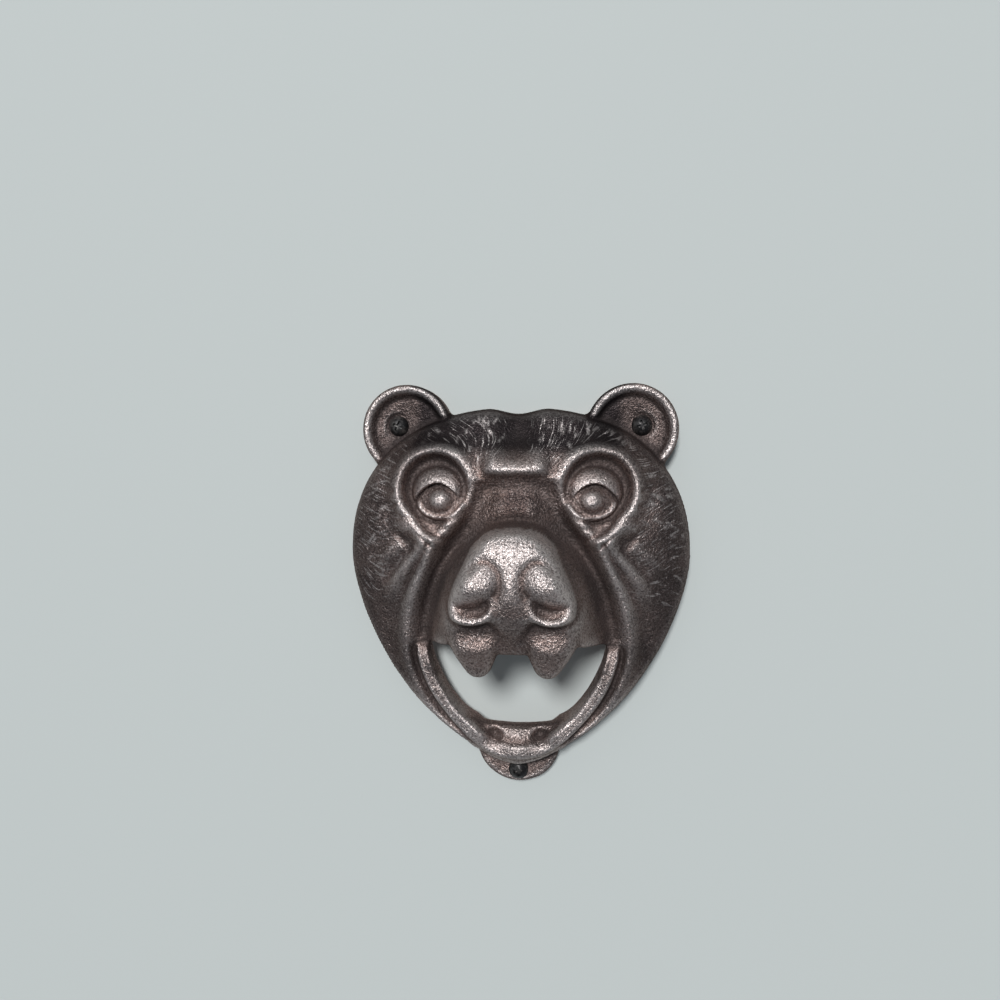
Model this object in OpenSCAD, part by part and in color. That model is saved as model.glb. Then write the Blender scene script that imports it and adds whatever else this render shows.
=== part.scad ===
// Wall-mounted bottle opener: a cast iron bear's face with an open mouth, three screws and three wall plugs.
// +X is the viewer's right, +Y runs into the wall and +Z is up. The wall's face is y = 0.
// The origin lies on the wall, midway between the two ear holes.

/* [Head] */
// Width of the head across the cheeks
head_w = 112.6; // [106:0.2:120]
// Height of the crown above the ear holes
crown_h = 6; // [3:0.5:8]
// Thickness at the outer edge of the head
edge_t = 6; // [5:0.5:7]
// Thickness at the outer edge of the jaw
jaw_edge_t = 10; // [8.5:0.5:11]
// Height of the forehead off the wall
brow_h = 24; // [21:0.5:27]
// Height of the jaw off the wall
jaw_h = 13; // [12:0.5:14.5]
// Thickness of iron over the hollow back
wall_t = 6; // [5:0.25:7]
// Thickness of iron over the hollow of the muzzle
muzzle_wall_t = 4.2; // [3.8:0.1:5]
// Width of the flat rim that sits on the wall
rim_w = 6; // [5:0.5:8]

/* [Ears] */
// Distance between the two ear holes
hole_spacing = 80.4; // [78:0.2:84]
// Radius of each ear
ear_r = 14.8; // [13.5:0.1:16]
// Height of the ear's rim off the wall
ear_h = 8.5; // [7:0.5:10]
// Thickness of the ear and of the chin tab under the screw heads
seat_t = 4.5; // [3.5:0.25:5.5]

/* [Eyes] */
// Distance between the eyes
eye_spacing = 51.2; // [48:0.2:55]
// Drop from the ear holes to the middle of the eye
eye_drop = 19.6; // [18:0.1:21]
// Radius of the raised ring round the eye
eye_r = 12.2; // [11:0.1:13]
// Height of that ring
eye_ring_h = 2.6; // [1.8:0.1:3.2]

/* [Muzzle] */
// Height of the muzzle off the wall, under the nose
muzzle_h = 41.4; // [38:0.2:44]
// Drop from the ear holes to the middle of the nose
nose_drop = 43; // [41:0.5:45]
// Half width of the nose across its wings
nose_half = 19.2; // [18:0.1:20.5]
// How far the nose stands proud of the muzzle
nose_t = 5; // [4:0.1:6]

/* [Mouth] */
// Half width of the open mouth
mouth_r = 29.3; // [27:0.1:31]
// Drop from the middle of the mouth to the point that its sides run towards
mouth_taper = 36; // [34:0.5:38]
// Drop from the middle of the nose to the middle of the mouth
mouth_fall = 27.2; // [26:0.1:28.4]
// Drop from the middle of the mouth to the straight edge that lifts the cap
lift_fall = 29; // [28:0.1:29.8]
// Iron between that edge and the underside of the chin
chin_h = 13.3; // [12.5:0.1:15]
// Height of that edge off the wall
lift_h = 10.6; // [9:0.2:12]
// Thickness of iron at that edge, in front of the pocket for the cap's skirt
lift_edge_t = 3.2; // [2.6:0.1:4]
// Height of the lip's roll round the mouth
lip_h = 3.4; // [2.5:0.1:4.5]
// How far the fangs hang below the upper lip
fang_l = 10.8; // [8:0.1:12]
// Distance between the two fang tips
fang_spacing = 20.8; // [19:0.2:23]

/* [Chin tab] */
// Radius of the tab under the chin
tab_r = 14; // [12.5:0.1:15]
// Drop from the underside of the chin to the chin hole
chin_hole_fall = 4.1; // [4:0.1:5]

/* [Fixings] */
// Diameter of the screw
screw_d = 4; // [3.5:0.1:4.4]
// How much wider each screw hole is than its screw
hole_clear = 0.5; // [0.3:0.1:1]
// Diameter of the screw's head
screw_head_d = 7; // [6.4:0.1:7.4]
// Height of the screw's head
screw_head_h = 2.4; // [2:0.1:3]
// Length of the screw under its head
screw_l = 32; // [26:1:36]
// Wall of the plug round the screw
plug_wall = 1; // [0.8:0.1:1.5]
// Length of the wall plug
plug_l = 28; // [24:1:32]
// How deep the plug's mouth lies below the wall's face
plug_set = 2.5; // [2.2:0.1:4]

/* [Hidden] */
$fn = 96;
iron = "#3a3431";
steel = "#4a4744";
nylon = "#b9b6ae";

// Grid of the cast surface: rays round the middle of the nose, and rings out to the edge
rays = 128;
rings = 36;
hollow_rings = 8;

// Heights of the main features, from the ear holes down
eye_z = -eye_drop;
nose_z = -nose_drop;
mouth_z = nose_z - mouth_fall;
lift_z = mouth_z - lift_fall;
chin_z = lift_z - chin_h;
chin_hole_z = chin_z - chin_hole_fall;

// Outline of the head: fuller above the nose, tapered to the chin below it
half_w = head_w/2;
rise_up = crown_h + nose_drop;
fall_down = nose_z - chin_z;
full_power = 2.3;
taper_power = 1.6;
crown_dip = 2;
crown_dip_angle = 12;
dome_power = 2.6;
slant = 0.32;
slant_z = nose_z + 40.5;
slant_half = 9.4;
jaw_level_z = mouth_z - mouth_r/2;
brow_level_z = eye_z - 3;
form_blend = 5;
hollow_slope = 2.5;
hollow_min = 1.2;
jaw_extra_t = 2;
edge_run = 44;
edge_round = 1.6;
edge_round_from = 0.95;

// Forehead, brow and bridge of the nose
furrow_w = 4;
furrow_h = 1.5;
furrow_run = 8;
hump_x = 12;
hump_z = -1;
hump_half_w = 16;
hump_half_h = 12;
hump_h = 1.2;
brow_z = nose_z + 29.4;
brow_half = 12.8;
brow_bar_h = 3.4;
brow_up_w = 4.6;
brow_down_w = 2.5;
bridge_h = brow_h - 0.4;
bridge_half = 11;
recess_z = brow_z - 7;
recess_tall = 2.9;
recess_h = 1.9;
block_z = brow_z - 12.4;
block_half_w = 9.4;
block_half_h = 4.8;
block_h = 1.5;
valley_h = 2.8;
valley_w = 3.8;

// Eyes
eye_x = eye_spacing/2;
eye_ring_w = 2.7;
eye_point_l = 3.2;
eye_point_drop = 15.6;
eye_point_half = 9;
bowl_h = 3;
bowl_run = 4.6;
lid_at = [eye_x - 1.2, eye_z - 1.2];
lid_half = [9.4, 8.2];
lid_h = 5.4;
lid_line_z = eye_z + 1.1;
lid_arch = 0.095;
lid_edge = 2.4;
eyeball_at = [eye_x - 1.9, eye_z - 4.2];
eyeball_half = [8.6, 6.8];
eyeball_h = 4.3;
iris_at = [eye_x - 2.1, eye_z - 3.8];
iris_r = 4.6;
iris_h = 1.7;
eye_blend = 2.5;
bag_at = [eye_x + 7.4, eye_z - 13.6];
bag_half = [8.6, 4.2];
bag_lean = 0.35;
bag_h = 2;

// Nose: half width down its sides, the groove round each nostril, and the rim under it
nose_top_z = nose_z + 11.4;
nose_low_z = nose_z - 13.6;
nose_sides = [
    [nose_z + 11, 0.39*nose_half],
    [nose_z + 9.5, 0.49*nose_half],
    [nose_z + 7, 0.6*nose_half],
    [nose_z + 3.2, 0.73*nose_half],
    [nose_z - 2.2, 0.88*nose_half],
    [nose_z - 7, 0.97*nose_half],
    [nose_z - 11, nose_half],
    [nose_z - 14.4, 0.96*nose_half]
];
top_blend = 3.5;
pad_edge = 0.8;
pad_slope = 2.2;
wing_x = 0.61*nose_half;
wing_half = 8;
wing_drop = 1.8;
wing_step = 1.2;
septum_half = 0.39*nose_half;
septum_step = 10;
nostril_line = [
    [0.61*nose_half, nose_z - 0.2],
    [0.56*nose_half, nose_z + 2.4],
    [0.37*nose_half, nose_z + 3.6],
    [0.18*nose_half, nose_z + 1],
    [0.16*nose_half, nose_z - 3.2],
    [0.24*nose_half, nose_z - 7.2],
    [0.41*nose_half, nose_z - 9.8],
    [0.6*nose_half, nose_z - 11],
    [0.8*nose_half, nose_z - 9.8]
];
nostril_d = 1.6;
nostril_w = 1.7;
ball_at = [0.54*nose_half, nose_z - 3];
ball_half = [6.4, 6.8];
ball_h = 1.5;
rim_line = [
    [0.99*nose_half, nose_z - 7.6],
    [0.86*nose_half, nose_z - 12.6],
    [0.6*nose_half, nose_z - 14.4],
    [0.39*nose_half, nose_z - 13],
    [0.29*nose_half, nose_z - 9.8]
];
rim_h = 1.2;
rim_round = 1.5;

// Mouth, lips and fangs
mouth_top_z = mouth_z + 3.4;
mouth_corner_z = mouth_z - 0.6;
mouth_round = 4;
mouth_step = 3;
lip_gap_z = mouth_top_z - 3;
lip_gap_half = 4.5;
fang_x = fang_spacing/2;
fang_tip_r = 3.5;
fang_tip_z = mouth_top_z - fang_l + fang_tip_r;
fang_out_x = fang_x + 9.2;
fang_in_x = lip_gap_half - 1.1;
fang_h = 4.6;
fang_back = 1.8;
fang_taper = 1.4;
fang_top_half = 8.6;
fang_tip_half = 4.4;
fang_power = 0.6;
fang_root = 2.8;
fang_lean = 0.8;
fang_fade = 6.3;
fang_side = 3;
fang_under = [10.6, 6.6];
lip_line = [
    [mouth_r + 1.1, mouth_z - 0.8],
    [mouth_r + 1.1, mouth_z - 5.3],
    [mouth_r - 2.5, mouth_z - 15.4],
    [mouth_r - 8.9, lift_z + 4],
    [0.4*mouth_r, lift_z - 4.8],
    [0.16*mouth_r, lift_z - 7.6],
    [-0.16*mouth_r, lift_z - 7.6]
];
lip_half = 4.2;
lip_side = 3.6;
floor_half = 17;
floor_near = 1.4;
floor_far = 5.2;
floor_low = [9, 6];
gum_half = 6.5;
gum_h = 2.6;
gum_low = [12, 4];
gum_top = [1.5, 2.5];
tooth_at = [8.2, lift_z - 2.8];
tooth_half = [4.4, 3.6];
tooth_d = 1.4;
pocket_half = 13;
pocket_drop = 7;
pocket_r = 2;

// Muzzle: height along its middle line, and half width of its flat front, from the brow down
muzzle_line = [
    [brow_z + 10, edge_t],
    [brow_z, bridge_h - 3.6],
    [nose_z + 23, bridge_h - 1.6],
    [nose_z + 12.5, bridge_h],
    [nose_z + 10.2, muzzle_h - 6.9],
    [nose_z + 7, muzzle_h - 4],
    [nose_z + 3, muzzle_h - 1.8],
    [nose_z - 2, muzzle_h - 0.2],
    [nose_z - 7, muzzle_h],
    [nose_z - 13, muzzle_h - 0.4],
    [nose_z - 17, muzzle_h - 1.6],
    [nose_z - 25, muzzle_h - 4.4],
    [mouth_z - 0.8, muzzle_h - 5.4],
    [fang_tip_z - 5.6, muzzle_h - 7.4],
    [fang_tip_z - 12, 0]
];
muzzle_half = [
    [brow_z, 0.33*nose_half],
    [nose_z + 14, 0.35*nose_half],
    [nose_z + 9, 0.48*nose_half],
    [nose_z + 3, 0.64*nose_half],
    [nose_z - 4, 0.79*nose_half],
    [nose_z - 9, 0.87*nose_half],
    [mouth_top_z, nose_half],
    [fang_tip_z - 5.6, 0.95*nose_half]
];
muzzle_slope = 2.3;
muzzle_round = 3;
line_blend = 1;

// Folds that run from the inner corner of the eye round the muzzle, and the outer cheek fold
fold_line = [
    [eye_x - 1.1, eye_z - 15.5],
    [eye_x + 1.4, eye_z - 21.5],
    [eye_x + 7.6, eye_z - 35],
    [mouth_r + 6.1, mouth_z + 8.2],
    [mouth_r + 7.3, mouth_z - 0.8],
    [mouth_r + 5.9, mouth_z - 9.3],
    [mouth_r + 2.1, mouth_z - 17.8]
];
fold_h = 3.4;
fold_w = 3.8;
cheek_line = [[eye_x + 3.4, eye_z - 18], [eye_x + 8, eye_z - 23.4], [eye_x + 15.5, eye_z - 36]];
cheek_h = 2.4;
cheek_w = 3.3;
valley_line = [
    [brow_half - 2.3, brow_z - 3.4],
    [0.72*nose_half, nose_z + 15],
    [nose_half, nose_z + 6],
    [nose_half + 5.8, nose_z - 7],
    [nose_half + 8.6, nose_z - 17]
];

// Ears and tab
hole_x = hole_spacing/2;
ear_x = hole_x - 3.2;
ear_z = -1.3;
ear_bead_r = 1.7;
ear_bowl_edge = ear_r - 2*ear_bead_r;
ear_bowl_d = ear_h - seat_t;
ear_bowl_r = (ear_bowl_edge*ear_bowl_edge + ear_bowl_d*ear_bowl_d)/(2*ear_bowl_d);
tab_z = chin_hole_z + 9.6;
hole_d = screw_d + hole_clear;
seat_clear = 0.4;
seat_r = screw_head_d/2 + seat_clear;
reach = muzzle_h + nose_t + 20;

// Fixings
screw_tip_l = 5;
screw_point_d = 0.6;
plug_d = screw_d + 2*plug_wall;
recess_w = 0.9;
recess_l = 0.6*screw_head_d;
recess_d = 0.55*screw_head_h;
plug_chamfer = 0.8;
plug_slit_w = 0.8;
plug_slit_l = 0.42*plug_l;

function ramp(v, a, b) = let (t = min(1, max(0, (v - a)/(b - a)))) t*t*(3 - 2*t);
function mound(d) = let (t = min(1, abs(d))) (1 - t*t)*(1 - t*t);
function bell(d, w) = exp(-d*d/(w*w));
function soft_max(a, b, k) = let (d = max(0, k - abs(a - b))) max(a, b) + d*d/(4*k);
function soft_min(a, b, k) = -soft_max(-a, -b, k);
function along(z, line) =
    (lookup(z - line_blend, line) + 2*lookup(z, line) + lookup(z + line_blend, line))/4;

// Distance from a point to a bent line
function leg_gap(p, a, b) =
    let (run = b - a, t = min(1, max(0, (p - a)*run/(run*run)))) norm(p - a - t*run);
function line_gap(p, line) = min([for (i = [1:len(line) - 1]) leg_gap(p, line[i - 1], line[i])]);

// Radius at an angle of an outline that is full above its middle and tapered below it
function tapered_r(angle, half, rise, fall) =
    let (
        up = sin(angle) > 0,
        power = up ? full_power : taper_power,
        tall = up ? rise : fall,
        across = pow(abs(cos(angle))/half, power) + pow(abs(sin(angle))/tall, power)
    )
    pow(across, -1/power);

// Radius of the head's outline, with a dip at the crown
function outline_r(angle) =
    tapered_r(angle, half_w, rise_up, fall_down) - crown_dip*mound((angle - 90)/crown_dip_angle);

// Plain dome of the face, with a forehead that slants back: t is 0 at the nose and 1 at the edge
function dome(t, z) =
    let (
        top = jaw_h + (brow_h - jaw_h)*ramp(z, jaw_level_z, brow_level_z),
        low = edge_t + (jaw_edge_t - edge_t)*ramp(nose_z - z, 0, edge_run)
    )
    low + (top - low)*sqrt(max(0, 1 - pow(t, dome_power)))*(1 - slant*mound((z - slant_z)/slant_half));

// Muzzle as a wedge with a flat front; shrink draws it in for the hollow behind
function muzzle(u, z, shrink) =
    let (
        top = shrink > 0 ? min(along(z, muzzle_line), along(z + shrink, muzzle_line)) : along(z, muzzle_line),
        over = soft_max(u - along(z, muzzle_half) + shrink, 0, muzzle_round)
    )
    top - muzzle_slope*over;

function forehead(u, z) =
    let (bar_w = z > brow_z ? brow_up_w : brow_down_w)
    hump_h*mound(norm([(u - hump_x)/hump_half_w, (z - hump_z)/hump_half_h]))
    - furrow_h*bell(u, furrow_w)*ramp(z, brow_z, brow_z + furrow_run)
    + brow_bar_h*ramp(brow_half - u, 0, brow_half/2)*bell(z - brow_z, bar_w);

function bridge(u, z) =
    block_h*mound(norm([u/block_half_w, (z - block_z)/block_half_h]))
    - recess_h*ramp(bridge_half - u, 0, bridge_half/2)*bell(z - recess_z, recess_tall);

// Height of an ellipsoid that stands out of the eye's bowl
function swell(p, middle, half, rise) =
    let (q = norm([(p.x - middle.x)/half.x, (p.y - middle.y)/half.y]))
    rise*max(0, 1 - q*q) - 2*max(0, q - 1) - bowl_h;

// Ring drawn to a point below, round a bowl out of which swell an overhanging lid and an eyeball
function eye(u, z) =
    let (
        point_across = mound((u - eye_x)/eye_point_half),
        point_down = mound((z - eye_z + eye_point_drop)/eye_point_half),
        r = norm([u - eye_x, z - eye_z]) - eye_point_l*point_across*point_down,
        above = ramp(z - lid_line_z + lid_arch*pow(u - lid_at.x, 2), -lid_edge, lid_edge),
        lid = swell([u, z], lid_at, lid_half, lid_h)*above - 2*bowl_h*(1 - above),
        iris = iris_h*mound(norm([u, z] - iris_at)/iris_r),
        ball = swell([u, z], eyeball_at, eyeball_half, eyeball_h) + iris,
        bowl = -bowl_h*ramp(eye_r - r, 0, bowl_run)
    )
    eye_ring_h*bell(r - eye_r, eye_ring_w) + soft_max(bowl, soft_max(lid, ball, eye_blend/2), eye_blend);

// Bag under the eye, folds beside the muzzle and the valley between them and the nose
function bag(u, z) =
    bag_h*mound(norm([(u - bag_at.x)/bag_half.x, (z - bag_at.y - bag_lean*(u - bag_at.x))/bag_half.y]));
function folds(u, z) =
    fold_h*bell(line_gap([u, z], fold_line), fold_w)
    + cheek_h*bell(line_gap([u, z], cheek_line), cheek_w)
    + bag(u, z)
    - valley_h*bell(line_gap([u, z], valley_line), valley_w);

// Round-topped pad whose middle runs into the lip; in each wing a groove runs round a ball, over a rim
function nose(u, z) =
    let (
        low = nose_low_z - wing_drop*mound((u - wing_x)/wing_half),
        step = wing_step + septum_step*mound(u/septum_half),
        sides = soft_max(u - along(z, nose_sides), z - nose_top_z, top_blend)
    )
    nose_t*ramp(-sides, -pad_edge, pad_slope)*ramp(z - low, -step, wing_step)
    - nostril_d*bell(line_gap([u, z], nostril_line), nostril_w)
    + ball_h*mound(norm([(u - ball_at.x)/ball_half.x, (z - ball_at.y)/ball_half.y]))
    + rim_h*bell(line_gap([u, z], rim_line), rim_round);

// Lip as a band round the mouth and over the chin
function lip(u, z) =
    lip_h*ramp(lip_half - line_gap([u, z], lip_line), 0, lip_side)*ramp(mouth_z - z, -lip_side, lip_side);

// Floor of the lower jaw inside the lip, with a mound between two hollows behind the lifting edge
function floor_share(u, z) =
    ramp(line_gap([u, z], lip_line), floor_near, floor_far)
    *ramp(lift_z - z, -2*lip_side, 0)
    *ramp(floor_half - u, 0, 2*lip_side)
    *ramp(z - lift_z, -floor_low[0], -floor_low[1]);
function teeth(u, z) =
    gum_h*mound(u/gum_half)
    *ramp(z - lift_z, -gum_low[0], -gum_low[1])
    *ramp(lift_z - z, -gum_top[0], gum_top[1])
    - tooth_d*mound(norm([(u - tooth_at.x)/tooth_half.x, (z - tooth_at.y)/tooth_half.y]));

// Fangs swell from the upper lip, round across and a little thinner at their tips
function fangs(u, z) =
    let (
        s = min(1, max(0, (mouth_top_z + fang_root - z)/(fang_l + fang_root))),
        half = fang_top_half*(1 - s) + fang_tip_half*s,
        across = (u - fang_x - fang_lean*(1 - s))/half,
        fade = ramp(mouth_top_z - z, -fang_fade, 0)
            *ramp(fang_out_x - u, -fang_side/2, fang_side/2)
            *ramp(u - fang_in_x, -fang_side/2, fang_side/2)
            *ramp(z - fang_tip_z, -fang_under[0], -fang_under[1])
    )
    fade*(fang_h*pow(max(0, 1 - across*across), fang_power) - fang_back - fang_taper*s*s);

// Height of the cast front off the wall
function front_h(t, u, z) =
    let (
        plain = soft_max(dome(t, z), muzzle(u, z, 0), form_blend) + forehead(u, z) + bridge(u, z)
            + eye(u, z) + folds(u, z) + nose(u, z) + lip(u, z) + fangs(u, z),
        jaw = floor_share(u, z)
    )
    plain*(1 - jaw) + lift_h*jaw + teeth(u, z) - edge_round*ramp(t, edge_round_from, 1);

// Depth of the hollow back, kept shallow in the jaw; run is the distance in from the rim
function hollow_h(t, u, z, run) =
    let (
        head = dome(t, z) - wall_t - jaw_extra_t*ramp(-z, -jaw_level_z, -lift_z),
        deep = soft_max(head, muzzle(u, z, muzzle_wall_t/2) - muzzle_wall_t, form_blend)
    )
    max(hollow_min, min(hollow_slope*run, deep));

// The head as one closed skin: front rings, a straight edge, the flat rim and the hollow behind
module head_shell() {
    step = 360/rays;
    edge = [for (j = [0:rays - 1]) outline_r(j*step)];
    front = [
        for (i = [1:rings], j = [0:rays - 1])
            let (
                t = i/rings,
                x = t*edge[j]*cos(j*step),
                z = nose_z + t*edge[j]*sin(j*step)
            )
            [x, -front_h(t, abs(x), z), z]
    ];
    back = [for (j = [0:rays - 1]) [edge[j]*cos(j*step), 0, nose_z + edge[j]*sin(j*step)]];
    hollow = [
        for (i = [0:hollow_rings - 1], j = [0:rays - 1])
            let (
                r = (edge[j] - rim_w)*(1 - i/hollow_rings),
                x = r*cos(j*step),
                z = nose_z + r*sin(j*step),
                h = i == 0 ? 0 : hollow_h(r/edge[j], abs(x), z, edge[j] - rim_w - r)
            )
            [x, -h, z]
    ];
    skin = concat(
        [[0, -front_h(0, 0, nose_z), nose_z]],
        front, back, hollow,
        [[0, -hollow_h(0, 0, nose_z, half_w), nose_z]]
    );
    bands = rings + 1 + hollow_rings;
    last = len(skin) - 1;
    polyhedron(
        points = skin,
        faces = concat(
            [for (j = [0:rays - 1]) [0, 1 + (j + 1)%rays, 1 + j]],
            [
                for (i = [0:bands - 2], j = [0:rays - 1])
                    let (
                        a = 1 + i*rays + j,
                        b = 1 + i*rays + (j + 1)%rays,
                        right = cos((j + 0.5)*step) > 0,
                        pair = right
                            ? [[a, b, b + rays], [a, b + rays, a + rays]]
                            : [[a, b, a + rays], [b, b + rays, a + rays]]
                    )
                    each pair
            ],
            [for (j = [0:rays - 1]) [last, last - rays + j, last - rays + (j + 1)%rays]]
        )
    );
}

// Cupped ear with a rounded rim
module ear(side) {
    translate([side*ear_x, 0, ear_z])
        rotate([90, 0, 0]) {
            difference() {
                cylinder(r = ear_r, h = ear_h - ear_bead_r);
                translate([0, 0, seat_t + ear_bowl_r]) sphere(r = ear_bowl_r);
            }
            rotate_extrude() translate([ear_r - ear_bead_r, ear_h - ear_bead_r]) circle(r = ear_bead_r);
        }
}

module chin_tab() {
    translate([0, 0, tab_z]) rotate([90, 0, 0]) cylinder(r = tab_r, h = seat_t);
}

// Point where a straight line from p touches a circle
function touch(c, r, p, side) =
    let (d = p - c, turn = atan2(d.y, d.x) + side*acos(r/norm(d))) c + r*[cos(turn), sin(turn)];

module fang_shape(side) {
    tip = [side*fang_x, fang_tip_z];
    inner = [side*fang_in_x, mouth_top_z + 1];
    outer = [side*fang_out_x, mouth_top_z + 1];
    translate(tip) circle(r = fang_tip_r);
    polygon([
        inner,
        touch(tip, fang_tip_r, inner, side),
        tip,
        touch(tip, fang_tip_r, outer, -side),
        outer
    ]);
}

// Mouth seen from the front: tapered sides down to the lifting edge, less the fangs and the lip between
module mouth_shape() {
    difference() {
        intersection() {
            offset(r = mouth_round) offset(delta = -mouth_round)
                intersection() {
                    polygon([
                        for (angle = [0:mouth_step:360 - mouth_step])
                            tapered_r(angle, mouth_r, mouth_r, mouth_taper)*[cos(angle), sin(angle)]
                            + [0, mouth_z]
                    ]);
                    translate([-mouth_r, lift_z]) square([2*mouth_r, 2*mouth_r]);
                }
            polygon([
                [-mouth_r, mouth_corner_z],
                [-fang_out_x, mouth_top_z],
                [fang_out_x, mouth_top_z],
                [mouth_r, mouth_corner_z],
                [mouth_r, lift_z],
                [-mouth_r, lift_z]
            ]);
        }
        for (side = [-1, 1]) fang_shape(side);
        translate([-lip_gap_half, lip_gap_z]) square([2*lip_gap_half, mouth_top_z - lip_gap_z + 1]);
    }
}

// Pocket in the back of the jaw, behind the lifting edge, which the cap's skirt enters
module cap_pocket() {
    translate([0, 1, 0]) rotate([90, 0, 0])
        linear_extrude(height = lift_h - lift_edge_t + 1)
            offset(r = pocket_r)
                translate([pocket_r - pocket_half, lift_z - pocket_drop + pocket_r])
                    square([2*(pocket_half - pocket_r), pocket_drop]);
}

// Screw hole with a flat seat for the head
module screw_hole(x, z) {
    translate([x, 0, z]) rotate([90, 0, 0]) {
        translate([0, 0, -1]) cylinder(d = hole_d, h = seat_t + 2);
        translate([0, 0, seat_t]) cylinder(r = seat_r, h = reach);
    }
}

module face_casting() {
    color(iron)
        difference() {
            union() {
                head_shell();
                for (side = [-1, 1]) ear(side);
                chin_tab();
            }
            translate([0, 1, 0]) rotate([90, 0, 0]) linear_extrude(height = reach) mouth_shape();
            cap_pocket();
            for (side = [-1, 1]) screw_hole(side*hole_x, 0);
            screw_hole(0, chin_hole_z);
        }
}

// Round-headed screw with a cross recess and a tapered point
module screw(x, z) {
    crown_r = (screw_head_d*screw_head_d/4 + screw_head_h*screw_head_h)/(2*screw_head_h);
    color(steel)
        translate([x, -seat_t, z]) rotate([90, 0, 0]) {
            difference() {
                intersection() {
                    cylinder(d = screw_head_d, h = screw_head_h);
                    translate([0, 0, screw_head_h - crown_r]) sphere(r = crown_r);
                }
                for (turn = [0, 90])
                    rotate([0, 0, turn])
                        translate([-recess_l/2, -recess_w/2, screw_head_h - recess_d])
                            cube([recess_l, recess_w, recess_d + 1]);
            }
            translate([0, 0, screw_tip_l - screw_l]) cylinder(d = screw_d, h = screw_l - screw_tip_l);
            translate([0, 0, -screw_l]) cylinder(d1 = screw_point_d, d2 = screw_d, h = screw_tip_l);
        }
}

// Plug with a bore that the screw fills, a chamfered mouth and a split tail
module plug(x, z) {
    color(nylon)
        translate([x, plug_set, z]) rotate([-90, 0, 0])
            difference() {
                union() {
                    cylinder(d1 = plug_d - 2*plug_chamfer, d2 = plug_d, h = plug_chamfer);
                    translate([0, 0, plug_chamfer]) cylinder(d = plug_d, h = plug_l - 2*plug_chamfer);
                    translate([0, 0, plug_l - plug_chamfer])
                        cylinder(d1 = plug_d, d2 = plug_d - 2*plug_chamfer, h = plug_chamfer);
                }
                translate([0, 0, -1]) cylinder(d = screw_d, h = plug_l + 2);
                translate([-plug_d, -plug_slit_w/2, plug_l - plug_slit_l])
                    cube([2*plug_d, plug_slit_w, plug_slit_l + 1]);
            }
}

module left_ear_screw() { screw(-hole_x, 0); }
module right_ear_screw() { screw(hole_x, 0); }
module chin_screw() { screw(0, chin_hole_z); }
module left_ear_plug() { plug(-hole_x, 0); }
module right_ear_plug() { plug(hole_x, 0); }
module chin_plug() { plug(0, chin_hole_z); }

face_casting();
left_ear_screw();
right_ear_screw();
chin_screw();
left_ear_plug();
right_ear_plug();
chin_plug();
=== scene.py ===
"""A cast iron bear-face bottle opener with its screws and wall plugs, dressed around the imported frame."""
import math

import bpy
import numpy as np
from mathutils import Matrix, Vector


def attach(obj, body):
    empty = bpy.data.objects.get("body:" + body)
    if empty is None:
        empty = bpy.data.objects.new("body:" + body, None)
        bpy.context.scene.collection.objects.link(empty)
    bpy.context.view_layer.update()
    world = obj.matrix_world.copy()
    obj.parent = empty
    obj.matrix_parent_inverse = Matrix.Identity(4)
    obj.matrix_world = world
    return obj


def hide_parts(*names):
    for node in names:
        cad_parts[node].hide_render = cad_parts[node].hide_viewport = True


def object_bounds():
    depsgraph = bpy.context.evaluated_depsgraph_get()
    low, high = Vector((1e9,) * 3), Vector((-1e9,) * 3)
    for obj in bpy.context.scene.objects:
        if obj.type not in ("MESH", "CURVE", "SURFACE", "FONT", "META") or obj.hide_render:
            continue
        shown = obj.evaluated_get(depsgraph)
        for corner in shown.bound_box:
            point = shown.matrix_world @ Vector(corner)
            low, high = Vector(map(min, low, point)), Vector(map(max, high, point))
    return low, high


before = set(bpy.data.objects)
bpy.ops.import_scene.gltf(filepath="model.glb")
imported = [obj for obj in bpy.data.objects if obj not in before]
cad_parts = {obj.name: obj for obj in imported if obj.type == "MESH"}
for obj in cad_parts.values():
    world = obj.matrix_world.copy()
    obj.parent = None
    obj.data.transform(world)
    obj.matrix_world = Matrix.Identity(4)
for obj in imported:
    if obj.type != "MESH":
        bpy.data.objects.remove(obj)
cad_box = [list(corner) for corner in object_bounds()]
bpy.ops.object.select_all(action="DESELECT")


# Face casting
# One piece of iron poured in sand: a bear's face with an open mouth, cupped ears, chin tab and hollow back,
# screwed to a wall. It starts as an even sheet trimmed to the outline and the mouth, and is then carved.
# Its sizes are in millimetres, with u for the distance from the middle line and z for the height.
MM = 0.001
GRID_STEP = 0.47
GRID_X = 57.0
GRID_TOP = 14.5
GRID_BOTTOM = -122.5

HEAD_HALF_W = 56.3
NOSE_Z = -43.0
HEAD_RISE = 49.0
HEAD_FALL = 69.5
FULL_POWER = 2.3
TAPER_POWER = 1.6
CROWN_DIP = 2.0
CROWN_DIP_HALF = math.radians(12)
EAR_X, EAR_Z, EAR_R = 37.0, -1.3, 14.8
TAB_Z, TAB_R = -107.0, 14.0
JOIN_R = 2.5
HOLES = [(-40.2, 0.0), (40.2, 0.0), (0.0, -116.6)]
HOLE_R = 2.25
SEAT_R = 3.9
SEAT_T = 4.5

MOUTH_Z, MOUTH_R, MOUTH_FALL = -70.2, 29.3, 36.0
MOUTH_TOP = -66.2
MOUTH_CORNER = -70.8
MOUTH_FLOOR_R, MOUTH_CORNER_R = 6, 1.5
LIFT_Z = -99.2
LIP_GAP_HALF, LIP_GAP_Z = 4.5, -68.4
FANG_TIP = (10.4, -71.1)
FANG_TIP_R = 4.4
FANG_IN = (3.4, -65.8)
FANG_OUT = (19.6, -65.8)
FANG_ROOT_R = 0.8

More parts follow.
